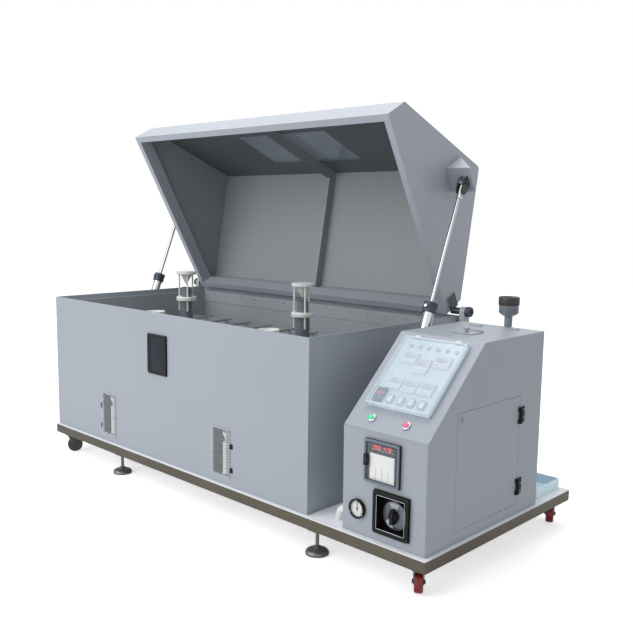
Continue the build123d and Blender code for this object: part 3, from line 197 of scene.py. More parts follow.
def finish(name, colour, rough=0.45, metal=0.0, mottle=0.08, skin=0.05, hair=0.0, coat=0.0,
           glow=0.0, specular=0.5):
    """A solid finish: mottled colour, roughness about its mean, a bump of skin and hair lines."""
    material = bpy.data.materials.new(name)
    material.use_nodes = True
    tree = material.node_tree
    shader = tree.nodes["Principled BSDF"]
    shader.inputs["Metallic"].default_value = metal
    shader.inputs["Coat Weight"].default_value = coat
    shader.inputs["Coat Roughness"].default_value = 0.12
    shader.inputs["Specular IOR Level"].default_value = specular
    tone = use_group(tree, "mottle", Colour=colour, Amount=mottle)
    wire(tree, (tone, "Colour"), (shader, "Base Color"))
    gloss = ramp(tree, 0.3, 0.95, max(rough - 0.07, 0.03), rough + 0.07)
    wire(tree, (tone, "Value"), (gloss, "Value"))
    wire(tree, (gloss, "Result"), (shader, "Roughness"))
    height = use_group(tree, "hairlines", Depth=hair) if hair else use_group(tree, "skin",
          Depth=skin)
    bump = tree.nodes.new("ShaderNodeBump")
    bump.inputs["Strength"].default_value = 0.35
    bump.inputs["Distance"].default_value = 0.0006
    wire(tree, (height, 0), (bump, "Height"))
    wire(tree, (bump, "Normal"), (shader, "Normal"))
    if glow:
        shader.inputs["Emission Color"].default_value = colour
        shader.inputs["Emission Strength"].default_value = glow
    return material


def clear(name, colour, alpha=0.25, rough=0.06):
    """A clear sheet: a thin tinted film whose faint mottling only touches its gloss."""
    material = finish(name, colour, rough=rough + 0.03, mottle=0.03, skin=0.0, coat=0.2)
    material.node_tree.nodes["Principled BSDF"].inputs["Alpha"].default_value = alpha
    return material


def painted_reflection_bands(name, light, dark, rough):
    """Polished round metal with painted reflections: light and dark bands painted into its colour by how
    far the surface turns from the eye.
    """
    material = finish(name, (*light, 1.0), rough=rough, metal=1.0, mottle=0.05, skin=0.01)
    tree = material.node_tree
    shader = tree.nodes["Principled BSDF"]
    facing_eye = tree.nodes.new("ShaderNodeLayerWeight")
    facing_eye.inputs["Blend"].default_value = 0.5
    bands = tree.nodes.new("ShaderNodeValToRGB")
    stops = bands.color_ramp
    stops.elements[0].position = 0.0
    stops.elements[0].color = (*light, 1)
    stops.elements[1].position = 1.0
    stops.elements[1].color = (*dark, 1)
    for position, colour in ((0.18, light), (0.30, dark), (0.42, dark), (0.52, light), (0.72,
          light), (0.86, dark)):
        stops.elements.new(position).color = (*colour, 1)
    wire(tree, (facing_eye, "Facing"), (bands, "Fac"))
    tone = shader.inputs["Base Color"].links[0].from_node
    tree.links.new(bands.outputs["Color"], tone.inputs["Colour"])
    return material


F = {"board": finish("grey_board", BOARD, rough=0.42), "lid": finish("lid_board", LID_BOARD,
      rough=0.40), "inner": finish("inner_board", INNER_BOARD, rough=0.5, mottle=0.12),
      # The next two finishes are the lid board painted darker as shade: one for its inner faces, and a
      # darker one for inner faces that look down.
      "lid_inside_painted_shade": finish("lid_inside_painted_shade", screen(150, 155, 159), rough=0.5, mottle=0.12),
      "lid_underside_painted_shade": finish("lid_underside_painted_shade", screen(92, 97, 101), rough=0.5, mottle=0.2),
      # The next finish is dark grey painted shade, standing for a red tyre in its fork's shade.
      "castor_painted_shade": finish("castor_shade_grey", screen(66, 66, 68), rough=0.4, mottle=0.2),
      "bead": finish("weld_bead", screen(170, 175, 185), rough=0.3, mottle=0.2, skin=0.4),
      "frame": finish("brushed_frame", screen(98, 93, 82), rough=0.36, metal=0.8, hair=0.9,
      mottle=0.75), "tray": finish("tray_sheet", screen(238, 241, 246), rough=0.35),
      "white": finish("white_plastic", screen(232, 234, 230), rough=0.28, coat=0.2),
      "pipe": finish("grey_pipe", screen(112, 120, 130), rough=0.36),
      "black": finish("black_plastic", screen(22, 22, 24), rough=0.45, specular=0.2),
      # The next finish is near black painted shade for recesses and holes.
      "recess_painted_shade": finish("painted_recess_shade", screen(34, 36, 42), rough=0.7),
      # The polished rod and the satin barrel carry painted reflections: bands of light and dark in their
      # colour.
      "chrome": painted_reflection_bands("polished_rod", (0.56, 0.57, 0.60), (0.10, 0.11, 0.13), 0.14),
      "barrel": painted_reflection_bands("satin_barrel", (0.66, 0.68, 0.72), (0.16, 0.17, 0.20), 0.24),
      "gland": finish("blue_grey_gland", screen(58, 68, 80), rough=0.38, metal=0.2),
      "bracket": finish("bracket_paint", screen(48, 50, 54), rough=0.45),
      "castor": finish("castor_red", screen(132, 42, 46), rough=0.38, mottle=0.25),
      "fork": finish("castor_fork", screen(70, 78, 74), rough=0.4, metal=0.4, mottle=0.3),
      "foot": finish("foot_steel", screen(116, 116, 118), rough=0.3, metal=0.6, mottle=0.2),
      "panel": finish("panel_white", PANEL_WHITE, rough=0.3, coat=0.3),
      "module": finish("module_white", screen(246, 240, 243), rough=0.3, coat=0.3),
      # The two button finishes glow a little as painted light, though the buttons hold no lamp.
      "green": finish("button_green", screen(70, 205, 150), rough=0.25, coat=0.5, glow=0.25),
      "red": finish("button_red", screen(214, 92, 128), rough=0.25, coat=0.5, glow=0.25),
      "steel": finish("bright_steel", screen(200, 202, 206), rough=0.25, metal=1.0, hair=0.2),
      "silver": finish("dial_silver", screen(104, 110, 118), rough=0.3, metal=0.8, hair=0.4),
      "paper": finish("chart_paper", screen(236, 236, 234), rough=0.6, mottle=0.03),
      "ink": finish("print_ink", screen(40, 42, 48), rough=0.6), "led": finish("led_red",
      screen(225, 60, 62), rough=0.4, glow=0.8), "led_dim": finish("led_window", screen(96, 40,
      44), rough=0.25, coat=0.5), "tub": finish("tub_blue", screen(220, 242, 252), rough=0.3),
      "rubber": finish("seal_rubber", screen(30, 30, 32), rough=0.6),
      "edge": clear("acrylic_edge", screen(246, 249, 251), alpha=0.85, rough=0.15),
      "smoke": clear("niche_cover", screen(206, 212, 218), alpha=0.14),
      "glass": clear("window_pane", screen(96, 112, 130), alpha=0.8, rough=0.05),
      "lens": clear("gauge_lens", screen(236, 242, 246), alpha=0.08, rough=0.03),
      # The next finish paints the meters' dark windows pale, as a painted reflection.
      "display": finish("display_painted_reflection", screen(196, 206, 214), rough=0.2, coat=0.5),
      "display_dark": finish("dark_display", screen(26, 24, 28), rough=0.35, specular=0.2),
      "key": finish("module_key", screen(206, 214, 222), rough=0.4),
      "led_green": finish("led_green", screen(74, 150, 96), rough=0.4, glow=0.3),
      "led_lens": finish("lamp_red", screen(206, 176, 180), rough=0.15, coat=0.7),
      "led_amber_lens": finish("lamp_amber", screen(214, 208, 190), rough=0.15, coat=0.7),
      "led_green_lens": finish("lamp_green", screen(184, 208, 196), rough=0.15, coat=0.7),
      "rocker_box": finish("rocker_frame", screen(196, 202, 208), rough=0.35),
      "rule": finish("chart_rule", screen(196, 204, 206), rough=0.7),
      "door_frame": finish("recorder_frame", screen(104, 116, 128), rough=0.35),
      "brown": finish("funnel_ring", screen(58, 50, 48), rough=0.4),
      "cover_edge": clear("cover_edge", screen(226, 230, 234), alpha=0.45, rough=0.12),
      # The next finish is a painted highlight: the pale wedges of the brushed dial.
      "dial_painted_highlight": finish("dial_wedge", screen(168, 174, 180), rough=0.4),
      "led_bright": finish("header_digits", screen(220, 52, 54), rough=0.4, glow=1.6),
      "header_dark": finish("header_face", screen(30, 36, 46), rough=0.4, specular=0.2),
      "funnel": finish("funnel_grey", screen(126, 136, 148), rough=0.38),
      "hub": finish("wheel_hub", screen(72, 70, 72), rough=0.4, mottle=0.2),
      "edge_white": finish("elbow_union", screen(214, 218, 220), rough=0.3, coat=0.2),
      "ear": finish("hinge_ear", screen(176, 180, 188), rough=0.42), "milky": clear("milky_cover",
      screen(205, 224, 236), alpha=0.26, rough=0.12), }
print("finishes", len(F))

# %% [markdown]
# The camera stands where the photographer stood: to the right and in front, about 1.5 m above the
# floor and 4.3 m from the chamber. Its place and turn came from fitting the tank's and the
# cabinet's corners, so it is given as numbers and not aimed at anything.

# %% Camera
CAMERA_PLACE = (3.0902, -3.0523, 1.4707)
YAW, PITCH, ROLL = (math.radians(a) for a in (44.43, -7.6, 0.68))
FOCAL_PIXELS, IMAGE_PIXELS = 808.79, 633
CENTRE_PIXELS = (301.2, 318.44)
ahead = Vector((-math.sin(YAW) * math.cos(PITCH), math.cos(YAW) * math.cos(PITCH),
      math.sin(PITCH)))
level_right = Vector((math.cos(YAW), math.sin(YAW), 0))
level_up = level_right.cross(ahead)
right = level_right * math.cos(ROLL) + level_up * math.sin(ROLL)
up = -level_right * math.sin(ROLL) + level_up * math.cos(ROLL)
camera_data = bpy.data.cameras.new("camera")
camera_data.lens = FOCAL_PIXELS / IMAGE_PIXELS * camera_data.sensor_width
camera_data.shift_x = (IMAGE_PIXELS / 2 - CENTRE_PIXELS[0]) / IMAGE_PIXELS
camera_data.shift_y = (CENTRE_PIXELS[1] - IMAGE_PIXELS / 2) / IMAGE_PIXELS
camera = bpy.data.objects.new("camera", camera_data)
camera.matrix_world = Matrix.Translation(CAMERA_PLACE) @ Matrix((right, up,
      -ahead)).transposed().to_4x4()
bpy.context.scene.collection.objects.link(camera)
bpy.context.scene.camera = camera
print("lens", round(camera_data.lens, 2), "mm")

# %% [markdown]
# A product photograph on white has light from everywhere and a little more from above and from the
# left of the camera. Two large soft lamps do that, with a pale world for the rest. The world looks
# pure white to the camera and to reflections, and lights the object at its own, lower level.


# %% Light, world and floor
def soft_lamp(name, place, target, size, watts):
    """A square area lamp at place, turned to face target."""
    lamp = bpy.data.lights.new(name, "AREA")
    lamp.size = size
    lamp.energy = watts
    holder = bpy.data.objects.new(name, lamp)
    holder.location = place
    holder.rotation_mode = "QUATERNION"
    holder.rotation_quaternion = (Vector(target) - Vector(place)).to_track_quat("-Z", "Y")
    bpy.context.scene.collection.objects.link(holder)
    return holder


soft_lamp("key_lamp", (-1.6, -5.0, 3.6), (0, 0, 0.7), 5.0, 178)
soft_lamp("top_lamp", (-0.2, 0.2, 5.2), (0, 0, 0.8), 3.5, 125)
world = bpy.data.worlds.new("studio")
bpy.context.scene.world = world
world.use_nodes = True
sky = world.node_tree
backdrop = sky.nodes["Background"]
backdrop.inputs["Color"].default_value = (1, 1, 1, 1)
path = sky.nodes.new("ShaderNodeLightPath")
seen = calculation(sky, "MAXIMUM", (path, "Is Camera Ray"), (path, "Is Glossy Ray"))
strength = ramp(sky, 0, 1, 0.52, 1.0)
through = calculation(sky, "MAXIMUM", (seen, 0), (path, "Is Transmission Ray"))
wire(sky, (through, 0), (strength, "Value"))
wire(sky, (strength, "Result"), (backdrop, "Strength"))
bpy.context.scene.view_settings.view_transform = "Standard"

FLOOR_REACH = 14.0
floor_mesh = bpy.data.meshes.new("floor")
ring = np.linspace(0, 2 * np.pi, 65)[:-1]
floor_mesh.from_pydata(np.stack([FLOOR_REACH * np.cos(ring), FLOOR_REACH * np.sin(ring),
      0 * ring - 0.0005], 1).tolist(), [], [list(range(64))])
floor = linked("floor", floor_mesh)
floor_finish = finish("floor", (0.93, 0.93, 0.94, 1), rough=0.75, mottle=0.01, skin=0.0)
floor_shader = floor_finish.node_tree.nodes["Principled BSDF"]
floor_shader.inputs["Emission Color"].default_value = (1, 1, 1, 1)
floor_tree = floor_finish.node_tree
seen_floor = floor_tree.nodes.new("ShaderNodeLightPath")
lift = ramp(floor_tree, 0, 1, 0.0, 0.55)
wire(floor_tree, (seen_floor, "Is Camera Ray"), (lift, "Value"))
wire(floor_tree, (lift, "Result"), (floor_shader, "Emission Strength"))
floor_mesh.materials.append(floor_finish)
print("lamps", 2)

# %% [markdown]
# The CAD sheets have knife edges, and real board never does. A copy of a node is cleaned into flat
# faces and gets a narrow bevel, and it stands for the node. Thin sheets get a narrower bevel than
# thick rails.


# %% Rounded copies of CAD nodes
def body_name(node):
    """The body that a CAD node rides on."""
    for body, members in frame["record"]["behaviour"]["bodies"].items():
        if node in members:
            return body
    raise KeyError(node)


def tidy_mesh(mesh, angle=35):
    """Merge doubles, point the faces outwards and mark edges sharper than the angle."""
    work = bmesh.new()
    work.from_mesh(mesh)
    bmesh.ops.remove_doubles(work, verts=work.verts, dist=2e-6)
    bmesh.ops.dissolve_degenerate(work, edges=work.edges, dist=1e-6)
    bmesh.ops.recalc_face_normals(work, faces=work.faces)
    work.to_mesh(mesh)
    work.free()
    mesh.shade_smooth()
    mesh.set_sharp_from_angle(angle=math.radians(angle))


def softened(node, material, width):
    """A bevelled copy of a CAD node: doubles merged, flat faces joined, edges over 30 degrees cut."""
    mesh = NODES[node].data.copy()
    mesh.materials.clear()
    mesh.materials.append(material)
    work = bmesh.new()
    work.from_mesh(mesh)
    bmesh.ops.remove_doubles(work, verts=work.verts, dist=2e-6)
    bmesh.ops.dissolve_limit(work, angle_limit=math.radians(2), verts=work.verts, edges=work.edges)
    work.to_mesh(mesh)
    work.free()
    piece = linked(node + "_finish", mesh)
    bevel = bevelled(piece, width, 32)
    bevel.use_clamp_overlap = True
    mesh.shade_flat()
    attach(piece, body_name(node))
    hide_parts(node)
    return piece


def bevelled(piece, width, degrees):
    """A narrow two step bevel on edges sharper than an angle; returns the modifier."""
    bevel = piece.modifiers.new("edges", "BEVEL")
    bevel.width = width
    bevel.segments = 2
    bevel.limit_method = "ANGLE"
    bevel.angle_limit = math.radians(degrees)
    return bevel


def dress(node, material):
    """Give a CAD node that keeps its shape its finish."""
    mesh = NODES[node].data
    for index in range(max(len(mesh.materials), 1)):
        if index < len(mesh.materials):
            mesh.materials[index] = material
        else:
            mesh.materials.append(material)

# %% [markdown]
# The pieces are measured in millimetres from the tank's lower front left corner, the way a maker
# would measure them on the real chamber: x along the tank, y towards the hinges, z up. One function
# turns such a point into the frame's metres, and a few local frames point out of the faces that
# carry instruments.

# %% Places
TANK_CORNER = np.array(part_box("tank_panels")[0])
LEAN = math.radians(61.4)
HINGE = np.array([0.0, 1113.0, 797.0])


def place(*point):
    """Millimetres from the tank's corner to metres in the frame: divide by 1000, add the corner."""
    return TANK_CORNER + np.array(point, float) / 1000


def on_lid(x, y, z):
    """A point of the closed lid, turned open: a turn by the lean about the hinge line."""
    dy, dz = y - HINGE[1], z - HINGE[2]
    return place(x, HINGE[1] + dy * math.cos(LEAN) + dz * math.sin(LEAN),
                 HINGE[2] - dy * math.sin(LEAN) + dz * math.cos(LEAN))


def facing(origin, across, upward):
    """A local frame in millimetres at a point: x across, y up the face, z out of it."""
    across, upward = np.array(across, float), np.array(upward, float)
    matrix = np.eye(4)
    matrix[:3, :3] = np.stack([across, upward, np.cross(across, upward)], 1) / 1000
    matrix[:3, 3] = origin
    return matrix


CAB_X, CAB_RIGHT, CAB_FRONT = 2297.0, 2717.0, 7.0
SLOPE_RUN, SLOPE_RISE, SLOPE_FOOT = 364.0, 341.0, 447.0
SLOPE_LENGTH = math.hypot(SLOPE_RUN, SLOPE_RISE)


def front_face(x, z, y=0.0):
    """Frame on an upright face that looks to the front."""
    return facing(place(x, y, z), (1, 0, 0), (0, 0, 1))


def right_face(y, z, x=CAB_RIGHT):
    """Frame on the cabinet's right side."""
    return facing(place(x, y, z), (0, 1, 0), (0, 0, 1))


def top_face(x, y, z):
    """Frame on a level face that looks up."""
    return facing(place(x, y, z), (1, 0, 0), (0, 1, 0))


def slope_face(x, s, out=0.0):
    """Frame on the instrument slope: x from its left edge, s up the slope, out along its normal."""
    up_slope = np.array([0, SLOPE_RUN, SLOPE_RISE]) / SLOPE_LENGTH
    normal = np.cross([1, 0, 0], up_slope)
    origin = place(CAB_X, CAB_FRONT, SLOPE_FOOT) + (np.array([x, 0,
          0]) + s * up_slope + out * normal) / 1000
    return facing(origin, (1, 0, 0), up_slope)


def pointing(origin, direction):
    """A local frame whose z runs along a direction; x lies level where it can."""
    out = np.array(direction, float) / np.linalg.norm(direction)
    side = np.cross([0, 0, 1.0] if abs(out[2]) < 0.9 else [1.0, 0, 0], out)
    side /= np.linalg.norm(side)
    return facing(origin, side, np.cross(out, side))


print("tank corner", TANK_CORNER.round(4).tolist())

# %% [markdown]
# Every new piece is a grid of points worked out from a formula. Round things are profiles turned
# about an axis, plates and frames are stacks of rounded outlines, and rods and weld beads are
# circles carried along a path.


# %% Surface makers
def grid_faces(rows, cols):
    """Quads of a grid of rows by cols points: each joins a point, its right, upper right and upper one."""
    r, c = np.meshgrid(np.arange(rows - 1), np.arange(cols), indexing="ij")
    r2, c2 = (r + 1) % rows, (c + 1) % cols
    return np.stack([r * cols + c, r * cols + c2, r2 * cols + c2, r2 * cols + c], -1).reshape(-1,
          4)


def build(name, grids, finish_key, node, stands_for=(), angle=32):
    """One closed piece from grids in metres: doubles merged, faces outwards, sharp edges kept."""
    points, faces, start = [], [], 0
    for grid in grids:
        rows, cols = grid.shape[:2]
        points.append(grid.reshape(-1, 3))
        faces.append(grid_faces(rows, cols) + start)
        start += rows * cols
    mesh = bpy.data.meshes.new(name)
    mesh.from_pydata(np.concatenate(points).tolist(), [], np.concatenate(faces).tolist())
    tidy_mesh(mesh, angle)
    mesh.materials.append(F[finish_key])
    piece = linked(name, mesh)
    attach(piece, body_name(node))
    if stands_for:
        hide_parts(*stands_for)
    return piece


def moved(frame_matrix, local):
    """Local millimetres to metres in the frame: the matrix times each point."""
    return local @ frame_matrix[:3, :3].T + frame_matrix[:3, 3]


def turned(frame_matrix, profile, steps=48):
    """A profile of (radius, height) turned about the frame's z: x = r cos t, y = r sin t, z = h."""
    profile = np.array(profile, float)
    t = np.linspace(0, 2 * np.pi, steps, endpoint=False)
    r, h = profile[:, :1], profile[:, 1:]
    local = np.stack([r * np.cos(t), r * np.sin(t), h + 0 * t], -1)
    return moved(frame_matrix, local)


def outline(width, height, corner, inset, steps=6):
    """A rounded rectangle shrunk by an inset: four arcs of the corner radius less the inset."""
    a = np.linspace(0, np.pi / 2, steps)
    turn = np.repeat(np.arange(4) * np.pi / 2, steps) + np.tile(a, 4)
    sx = np.repeat([1, -1, -1, 1], steps)
    sy = np.repeat([1, 1, -1, -1], steps)
    radius = max(corner - inset, 0.02)
    x = sx * (width / 2 - inset - radius) + radius * np.cos(turn)
    y = sy * (height / 2 - inset - radius) + radius * np.sin(turn)
    return np.stack([x, y], -1)


def stack(frame_matrix, width, height, corner, levels, steps=6):
    """Outlines at the given (inset, height) levels, one over the other."""
    rings = [np.column_stack([outline(width, height, corner, inset, steps), np.full(4 * steps, z)])
             for inset, z in levels]
    return moved(frame_matrix, np.stack(rings))


def plate(frame_matrix, width, height, low, high, corner=3.0, edge=0.8):
    """A flat plate with rounded corners and a rounded upper edge, closed to a point on both faces."""
    arc = np.linspace(0, np.pi / 2, 4)
    levels = [(0, low)] + [(edge * (1 - math.cos(a)),
          high - edge + edge * math.sin(a)) for a in arc]
    body = stack(frame_matrix, width, height, corner, levels)
    poles = moved(frame_matrix, np.array([[0, 0, low], [0, 0, high]], float))
    cols = body.shape[1]
    return np.concatenate([np.repeat(poles[:1, None], cols, 1), body, np.repeat(poles[1:, None],
          cols, 1)])


def window_frame(frame_matrix, width, height, border, low, high, corner=3.0, edge=0.8):
    """A ring of rounded outlines round an opening; its section is a box with softened upper edges."""
    levels = [(0, low), (0, high - edge), (edge, high), (border - edge, high), (border,
          high - edge), (border, low), (0, low)]
    return stack(frame_matrix, width, height, corner, levels)


def rod(path, radius, steps=10):
    """A round section carried along a path: each ring stands across the path's local direction."""
    path = np.array(path, float)
    ahead_way = np.gradient(path, axis=0)
    ahead_way /= np.linalg.norm(ahead_way, axis=1, keepdims=True)
    helper = np.where(np.abs(ahead_way[:, 2:]) < 0.9, [[0, 0, 1.0]], [[1.0, 0, 0]])
    side = np.cross(helper, ahead_way)
    side /= np.linalg.norm(side, axis=1, keepdims=True)
    over = np.cross(ahead_way, side)
    t = np.linspace(0, 2 * np.pi, steps, endpoint=False)[None, :, None]
    rings = path[:, None] + radius / 1000 * (np.cos(t) * side[:, None] + np.sin(t) * over[:, None])
    first = np.repeat(path[:1, None], steps, 1)
    last = np.repeat(path[-1:, None], steps, 1)
    return np.concatenate([first, rings, last])


def straight(start, end, count=9):
    """Evenly spaced points between two points in metres."""
    return np.array(start) + np.linspace(0, 1, count)[:, None] * (np.array(end) - np.array(start))


def strokes(frame_matrix, rows, low, high):
    """Small flat bars, one per row of (x, y, length, width, degrees): four corners at two heights."""
    grids = []
    for x, y, length, width, degrees in rows:
        a = math.radians(degrees)
        turn = np.array([[math.cos(a), -math.sin(a)], [math.sin(a), math.cos(a)]])
        corners = np.array([[1, 1], [-1, 1], [-1, -1], [1, -1]]) * [length / 2,
              width / 2] @ turn.T + [x, y]
        middle = np.repeat([[x, y]], 4, 0)
        rings = [np.column_stack([ring, np.full(4, z)])
                 for ring, z in ((middle, low), (corners, low), (corners, high), (middle, high))]
        grids.append(moved(frame_matrix, np.stack(rings)))
    return grids


SEGMENTS = {"0": "abcdef", "1": "bc", "2": "abged", "3": "abgcd", "4": "fgbc", "5": "afgcd",
            "6": "afgedc", "7": "abc", "8": "abcdefg", "-": "g", " ": ""}
SEGMENT_PLACES = {"a": (0, 1, 0), "b": (0.5, 0.5, 90), "c": (0.5, -0.5, 90), "d": (0, -1, 0),
                  "e": (-0.5, -0.5, 90), "f": (-0.5, 0.5, 90), "g": (0, 0, 0)}


def readout(signs, x, y, height, pitch):
    """Rows for strokes: seven-segment signs side by side, each lit segment one bar."""
    half = height / 2
    return [(x + n * pitch + SEGMENT_PLACES[s][0] * half, y + SEGMENT_PLACES[s][1] * half,
             half * 0.82, height * 0.13, SEGMENT_PLACES[s][2])
            for n, sign in enumerate(signs) for s in SEGMENTS[sign]]


print("surface makers ready")

# %% [markdown]
# Some CAD nodes hold pieces of different finishes, such as a pale plate with dark bosses. A copy of
# the node's mesh takes several finishes, chosen by where each face lies, and gets its small bevel.


# %% Copies with several finishes
def copied(nodes, name, rules, width=0.0012, angle=32, flat=False):
    """Copy CAD nodes as one piece. Each rule gives a finish and a test of face middles in millimetres."""
    meshes = [NODES[node].data for node in nodes]
    work = bmesh.new()
    for mesh in meshes:
        work.from_mesh(mesh)
    bmesh.ops.remove_doubles(work, verts=work.verts, dist=2e-6)
    bmesh.ops.dissolve_limit(work, angle_limit=math.radians(1.5), verts=work.verts,
          edges=work.edges)
    mesh = bpy.data.meshes.new(name)
    work.to_mesh(mesh)
    work.free()
    piece = linked(name, mesh)
    mesh.materials.clear()
    for key, _ in rules:
        mesh.materials.append(F[key])
    count = len(mesh.polygons)
    middles = np.empty(count * 3)
    mesh.polygons.foreach_get("center", middles)
    middles = (middles.reshape(-1, 3) - TANK_CORNER) * 1000
    index = np.zeros(count, np.int32)
    for number, (_, test) in enumerate(rules):
        if test is not None:
            index[test(middles)] = number
    mesh.polygons.foreach_set("material_index", index)
    if flat:
        mesh.shade_flat()
    else:
        mesh.shade_smooth()
        mesh.set_sharp_from_angle(angle=math.radians(angle))
    if width:
        bevel = bevelled(piece, width, angle)
        bevel.harden_normals = not flat
    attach(piece, body_name(nodes[0]))
    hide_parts(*nodes)
    return piece


print("copier ready")

# %% [markdown]
# The lid is one welded shell on a stout frame. Its rails, gables, roof sheets and rib are joined
# into one body here, because touching plates would show a line where the real weld is ground flat.
# Faces on the outside and on the rim keep the lid's pale board. The inner faces above the rim get
# the same board darkened as painted shade, and those of them that look down a darker painted shade.


# %% Lid and cabinet shells
RIM_TOP = 823.0


def lid_levels(middles):
    """Heights of face middles on the lid, as if it were closed."""
    dy, dz = middles[:, 1] - HINGE[1], middles[:, 2] - HINGE[2]
    return HINGE[2] + dy * math.sin(LEAN) + dz * math.cos(LEAN)


def islands(nodes):
    """One mesh for each solid of some CAD nodes, found by walking from point to point."""
    meshes = []
    for node in nodes:
        work = bmesh.new()
        work.from_mesh(NODES[node].data)
        bmesh.ops.remove_doubles(work, verts=work.verts, dist=2e-6)
        left = set(work.verts)
        while left:
            open_points = [left.pop()]
            island = set(open_points)
            while open_points:
                for edge in open_points.pop().link_edges:
                    for point in edge.verts:
                        if point not in island:
                            island.add(point)
                            open_points.append(point)
            left -= island
            part = work.copy()
            part.verts.ensure_lookup_table()
            keep = {v.index for v in island}
            bmesh.ops.delete(part, geom=[v for v in part.verts if v.index not in keep],
                  context="VERTS")
            mesh = bpy.data.meshes.new("island")
            part.to_mesh(mesh)
            part.free()
            meshes.append(mesh)
        work.free()
    return meshes


def joined(nodes, name):
    """One body from all the solids of some CAD nodes: an exact union, one solid after another."""
    first, *others = islands(nodes)
    for other in others:
        base = bpy.data.objects.new(name, first)
        tool = bpy.data.objects.new(name + "_tool", other)
        for thing in (base, tool):
            bpy.context.scene.collection.objects.link(thing)
        union = base.modifiers.new("union", "BOOLEAN")
        union.operation = "UNION"
        union.solver = "EXACT"
        union.object = tool
        depsgraph = bpy.context.evaluated_depsgraph_get()
        first = bpy.data.meshes.new_from_object(base.evaluated_get(depsgraph), depsgraph=depsgraph)
        bpy.data.objects.remove(tool)
        bpy.data.objects.remove(base)
    return first


def outer_faces(mesh, reach):
    """True where a face lies on the hull: its middle is within reach of the farthest point its way."""
    count = len(mesh.polygons)
    middles, normals = np.empty(count * 3), np.empty(count * 3)
    mesh.polygons.foreach_get("center", middles)
    mesh.polygons.foreach_get("normal", normals)
    points = np.empty(len(mesh.vertices) * 3)
    mesh.vertices.foreach_get("co", points)
    middles, normals, points = (a.reshape(-1, 3) for a in (middles, normals, points))
    return np.einsum("ij,ij->i", middles, normals) > (normals @ points.T).max(1) - reach


def shell_piece(nodes, name, outer_key, inner_key, rounding, small, reach=0.06, shade_key=None):
    """The joined shell with rounded outer edges, a narrow bevel elsewhere and two finishes; a shade key
    adds a third finish, painted shade on inner faces that look down.
    """
    mesh = joined(nodes, name)
    work = bmesh.new()
    work.from_mesh(mesh)
    bmesh.ops.remove_doubles(work, verts=work.verts, dist=2e-5)
    bmesh.ops.recalc_face_normals(work, faces=work.faces)
    print(name, "open edges", sum(len(e.link_faces) != 2 for e in work.edges))
    if rounding:
        bmesh.ops.dissolve_limit(work, angle_limit=math.radians(1.0), verts=work.verts,
              edges=work.edges)
    work.to_mesh(mesh)
    outside = outer_faces(mesh, 0.003)
    work.faces.ensure_lookup_table()
    lowest = min(v.co.z for v in work.verts) + 0.002
    if rounding:
        edges = [e for e in work.edges if len(e.link_faces) == 2
                 and all(outside[f.index] for f in e.link_faces)
                 and e.calc_face_angle(0) > 0.3 and max(v.co.z for v in e.verts) > lowest]
        bmesh.ops.bevel(work, geom=edges, offset=rounding, segments=4, profile=0.5, affect="EDGES",
                        clamp_overlap=True)
        work.to_mesh(mesh)
    work.free()
    mesh.materials.clear()
    mesh.materials.append(F[outer_key])
    mesh.materials.append(F[inner_key])
    inward = ~outer_faces(mesh, reach)
    if shade_key:
        middles = np.empty(len(mesh.polygons) * 3)
        mesh.polygons.foreach_get("center", middles)
        inward &= lid_levels((middles.reshape(-1, 3) - TANK_CORNER) * 1000) > RIM_TOP + 1
    normals = np.empty(len(mesh.polygons) * 3)
    mesh.polygons.foreach_get("normal", normals)
    if shade_key:
        mesh.materials.append(F[shade_key])
        # Inner faces that look down take the darker painted shade.
        shaded = inward & (normals.reshape(-1, 3)[:, 2] < -0.6)
        mesh.polygons.foreach_set("material_index", inward.astype(np.int32) + shaded)
    else:
        mesh.polygons.foreach_set("material_index", inward.astype(np.int32))
    mesh.shade_flat()
    piece = linked(name, mesh)
    bevel = bevelled(piece, small, 35)
    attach(piece, body_name(nodes[0]))
    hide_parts(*nodes)
    print(name, "faces", len(mesh.polygons))
    return piece


shell_piece(["lid_rim", "lid_shell"], "lid_welded_shell", "lid", "lid_inside_painted_shade", 0, 0.002,
            shade_key="lid_underside_painted_shade")
shell_piece(["cabinet_panels"], "cabinet_shell", "board", "inner", 0.012, 0.0018, 0.03)

# %% [markdown]
# Hot gas welding leaves a ribbed bead along every seam of a board tank. A bead is a thin round rod
# whose radius swells and shrinks along the seam, sunk half way into the corner.


# %% Weld beads
def bead(name, start, end, node, radius=2.2, pitch=7.0, key="bead"):
    """A ribbed bead: radius r (1 + 0.16 sin(2 pi s / pitch)) along a straight seam of length s."""
    start, end = np.array(start), np.array(end)
    length = np.linalg.norm(end - start) * 1000
    count = int(length / pitch * 4) + 2
    grid = rod(straight(start, end, count), radius, 8)
    swell = 1 + 0.16 * np.sin(2 * np.pi * np.linspace(0, length, count) / pitch)
    middle = straight(start, end, count)[:, None]
    grid[1:-1] = middle + (grid[1:-1] - middle) * swell[:, None, None]
    return build(name, [grid], key, node)


TANK_LONG, TANK_DEEP, TANK_HIGH = 2100, 1120, 773
for number, (x, y) in enumerate(((0, 0), (TANK_LONG, 0), (TANK_LONG, TANK_DEEP), (0, TANK_DEEP))):
    bead(f"tank_corner_bead_{number}", place(x, y, 2), place(x, y, TANK_HIGH - 4), "tank_panels",
          1.6)
for number, (a, b) in enumerate((((2, 0), (TANK_LONG - 2, 0)), ((TANK_LONG, 2), (TANK_LONG,
      TANK_DEEP - 2)), ((TANK_LONG - 2, TANK_DEEP), (2, TANK_DEEP)), ((0, TANK_DEEP - 2), (0,
      2)))):
    bead(f"tank_foot_bead_{number}", place(*a, 1.5), place(*b, 1.5), "tank_panels", 2.4)
LID_LEFT, LID_RIGHT, LID_FRONT, LID_REAR, RIM_LEVEL = 45, 2055, 13, 1107, 748
EAVE, RIDGE, MIDDLE = RIM_LEVEL + 138, RIM_LEVEL + 575, 560
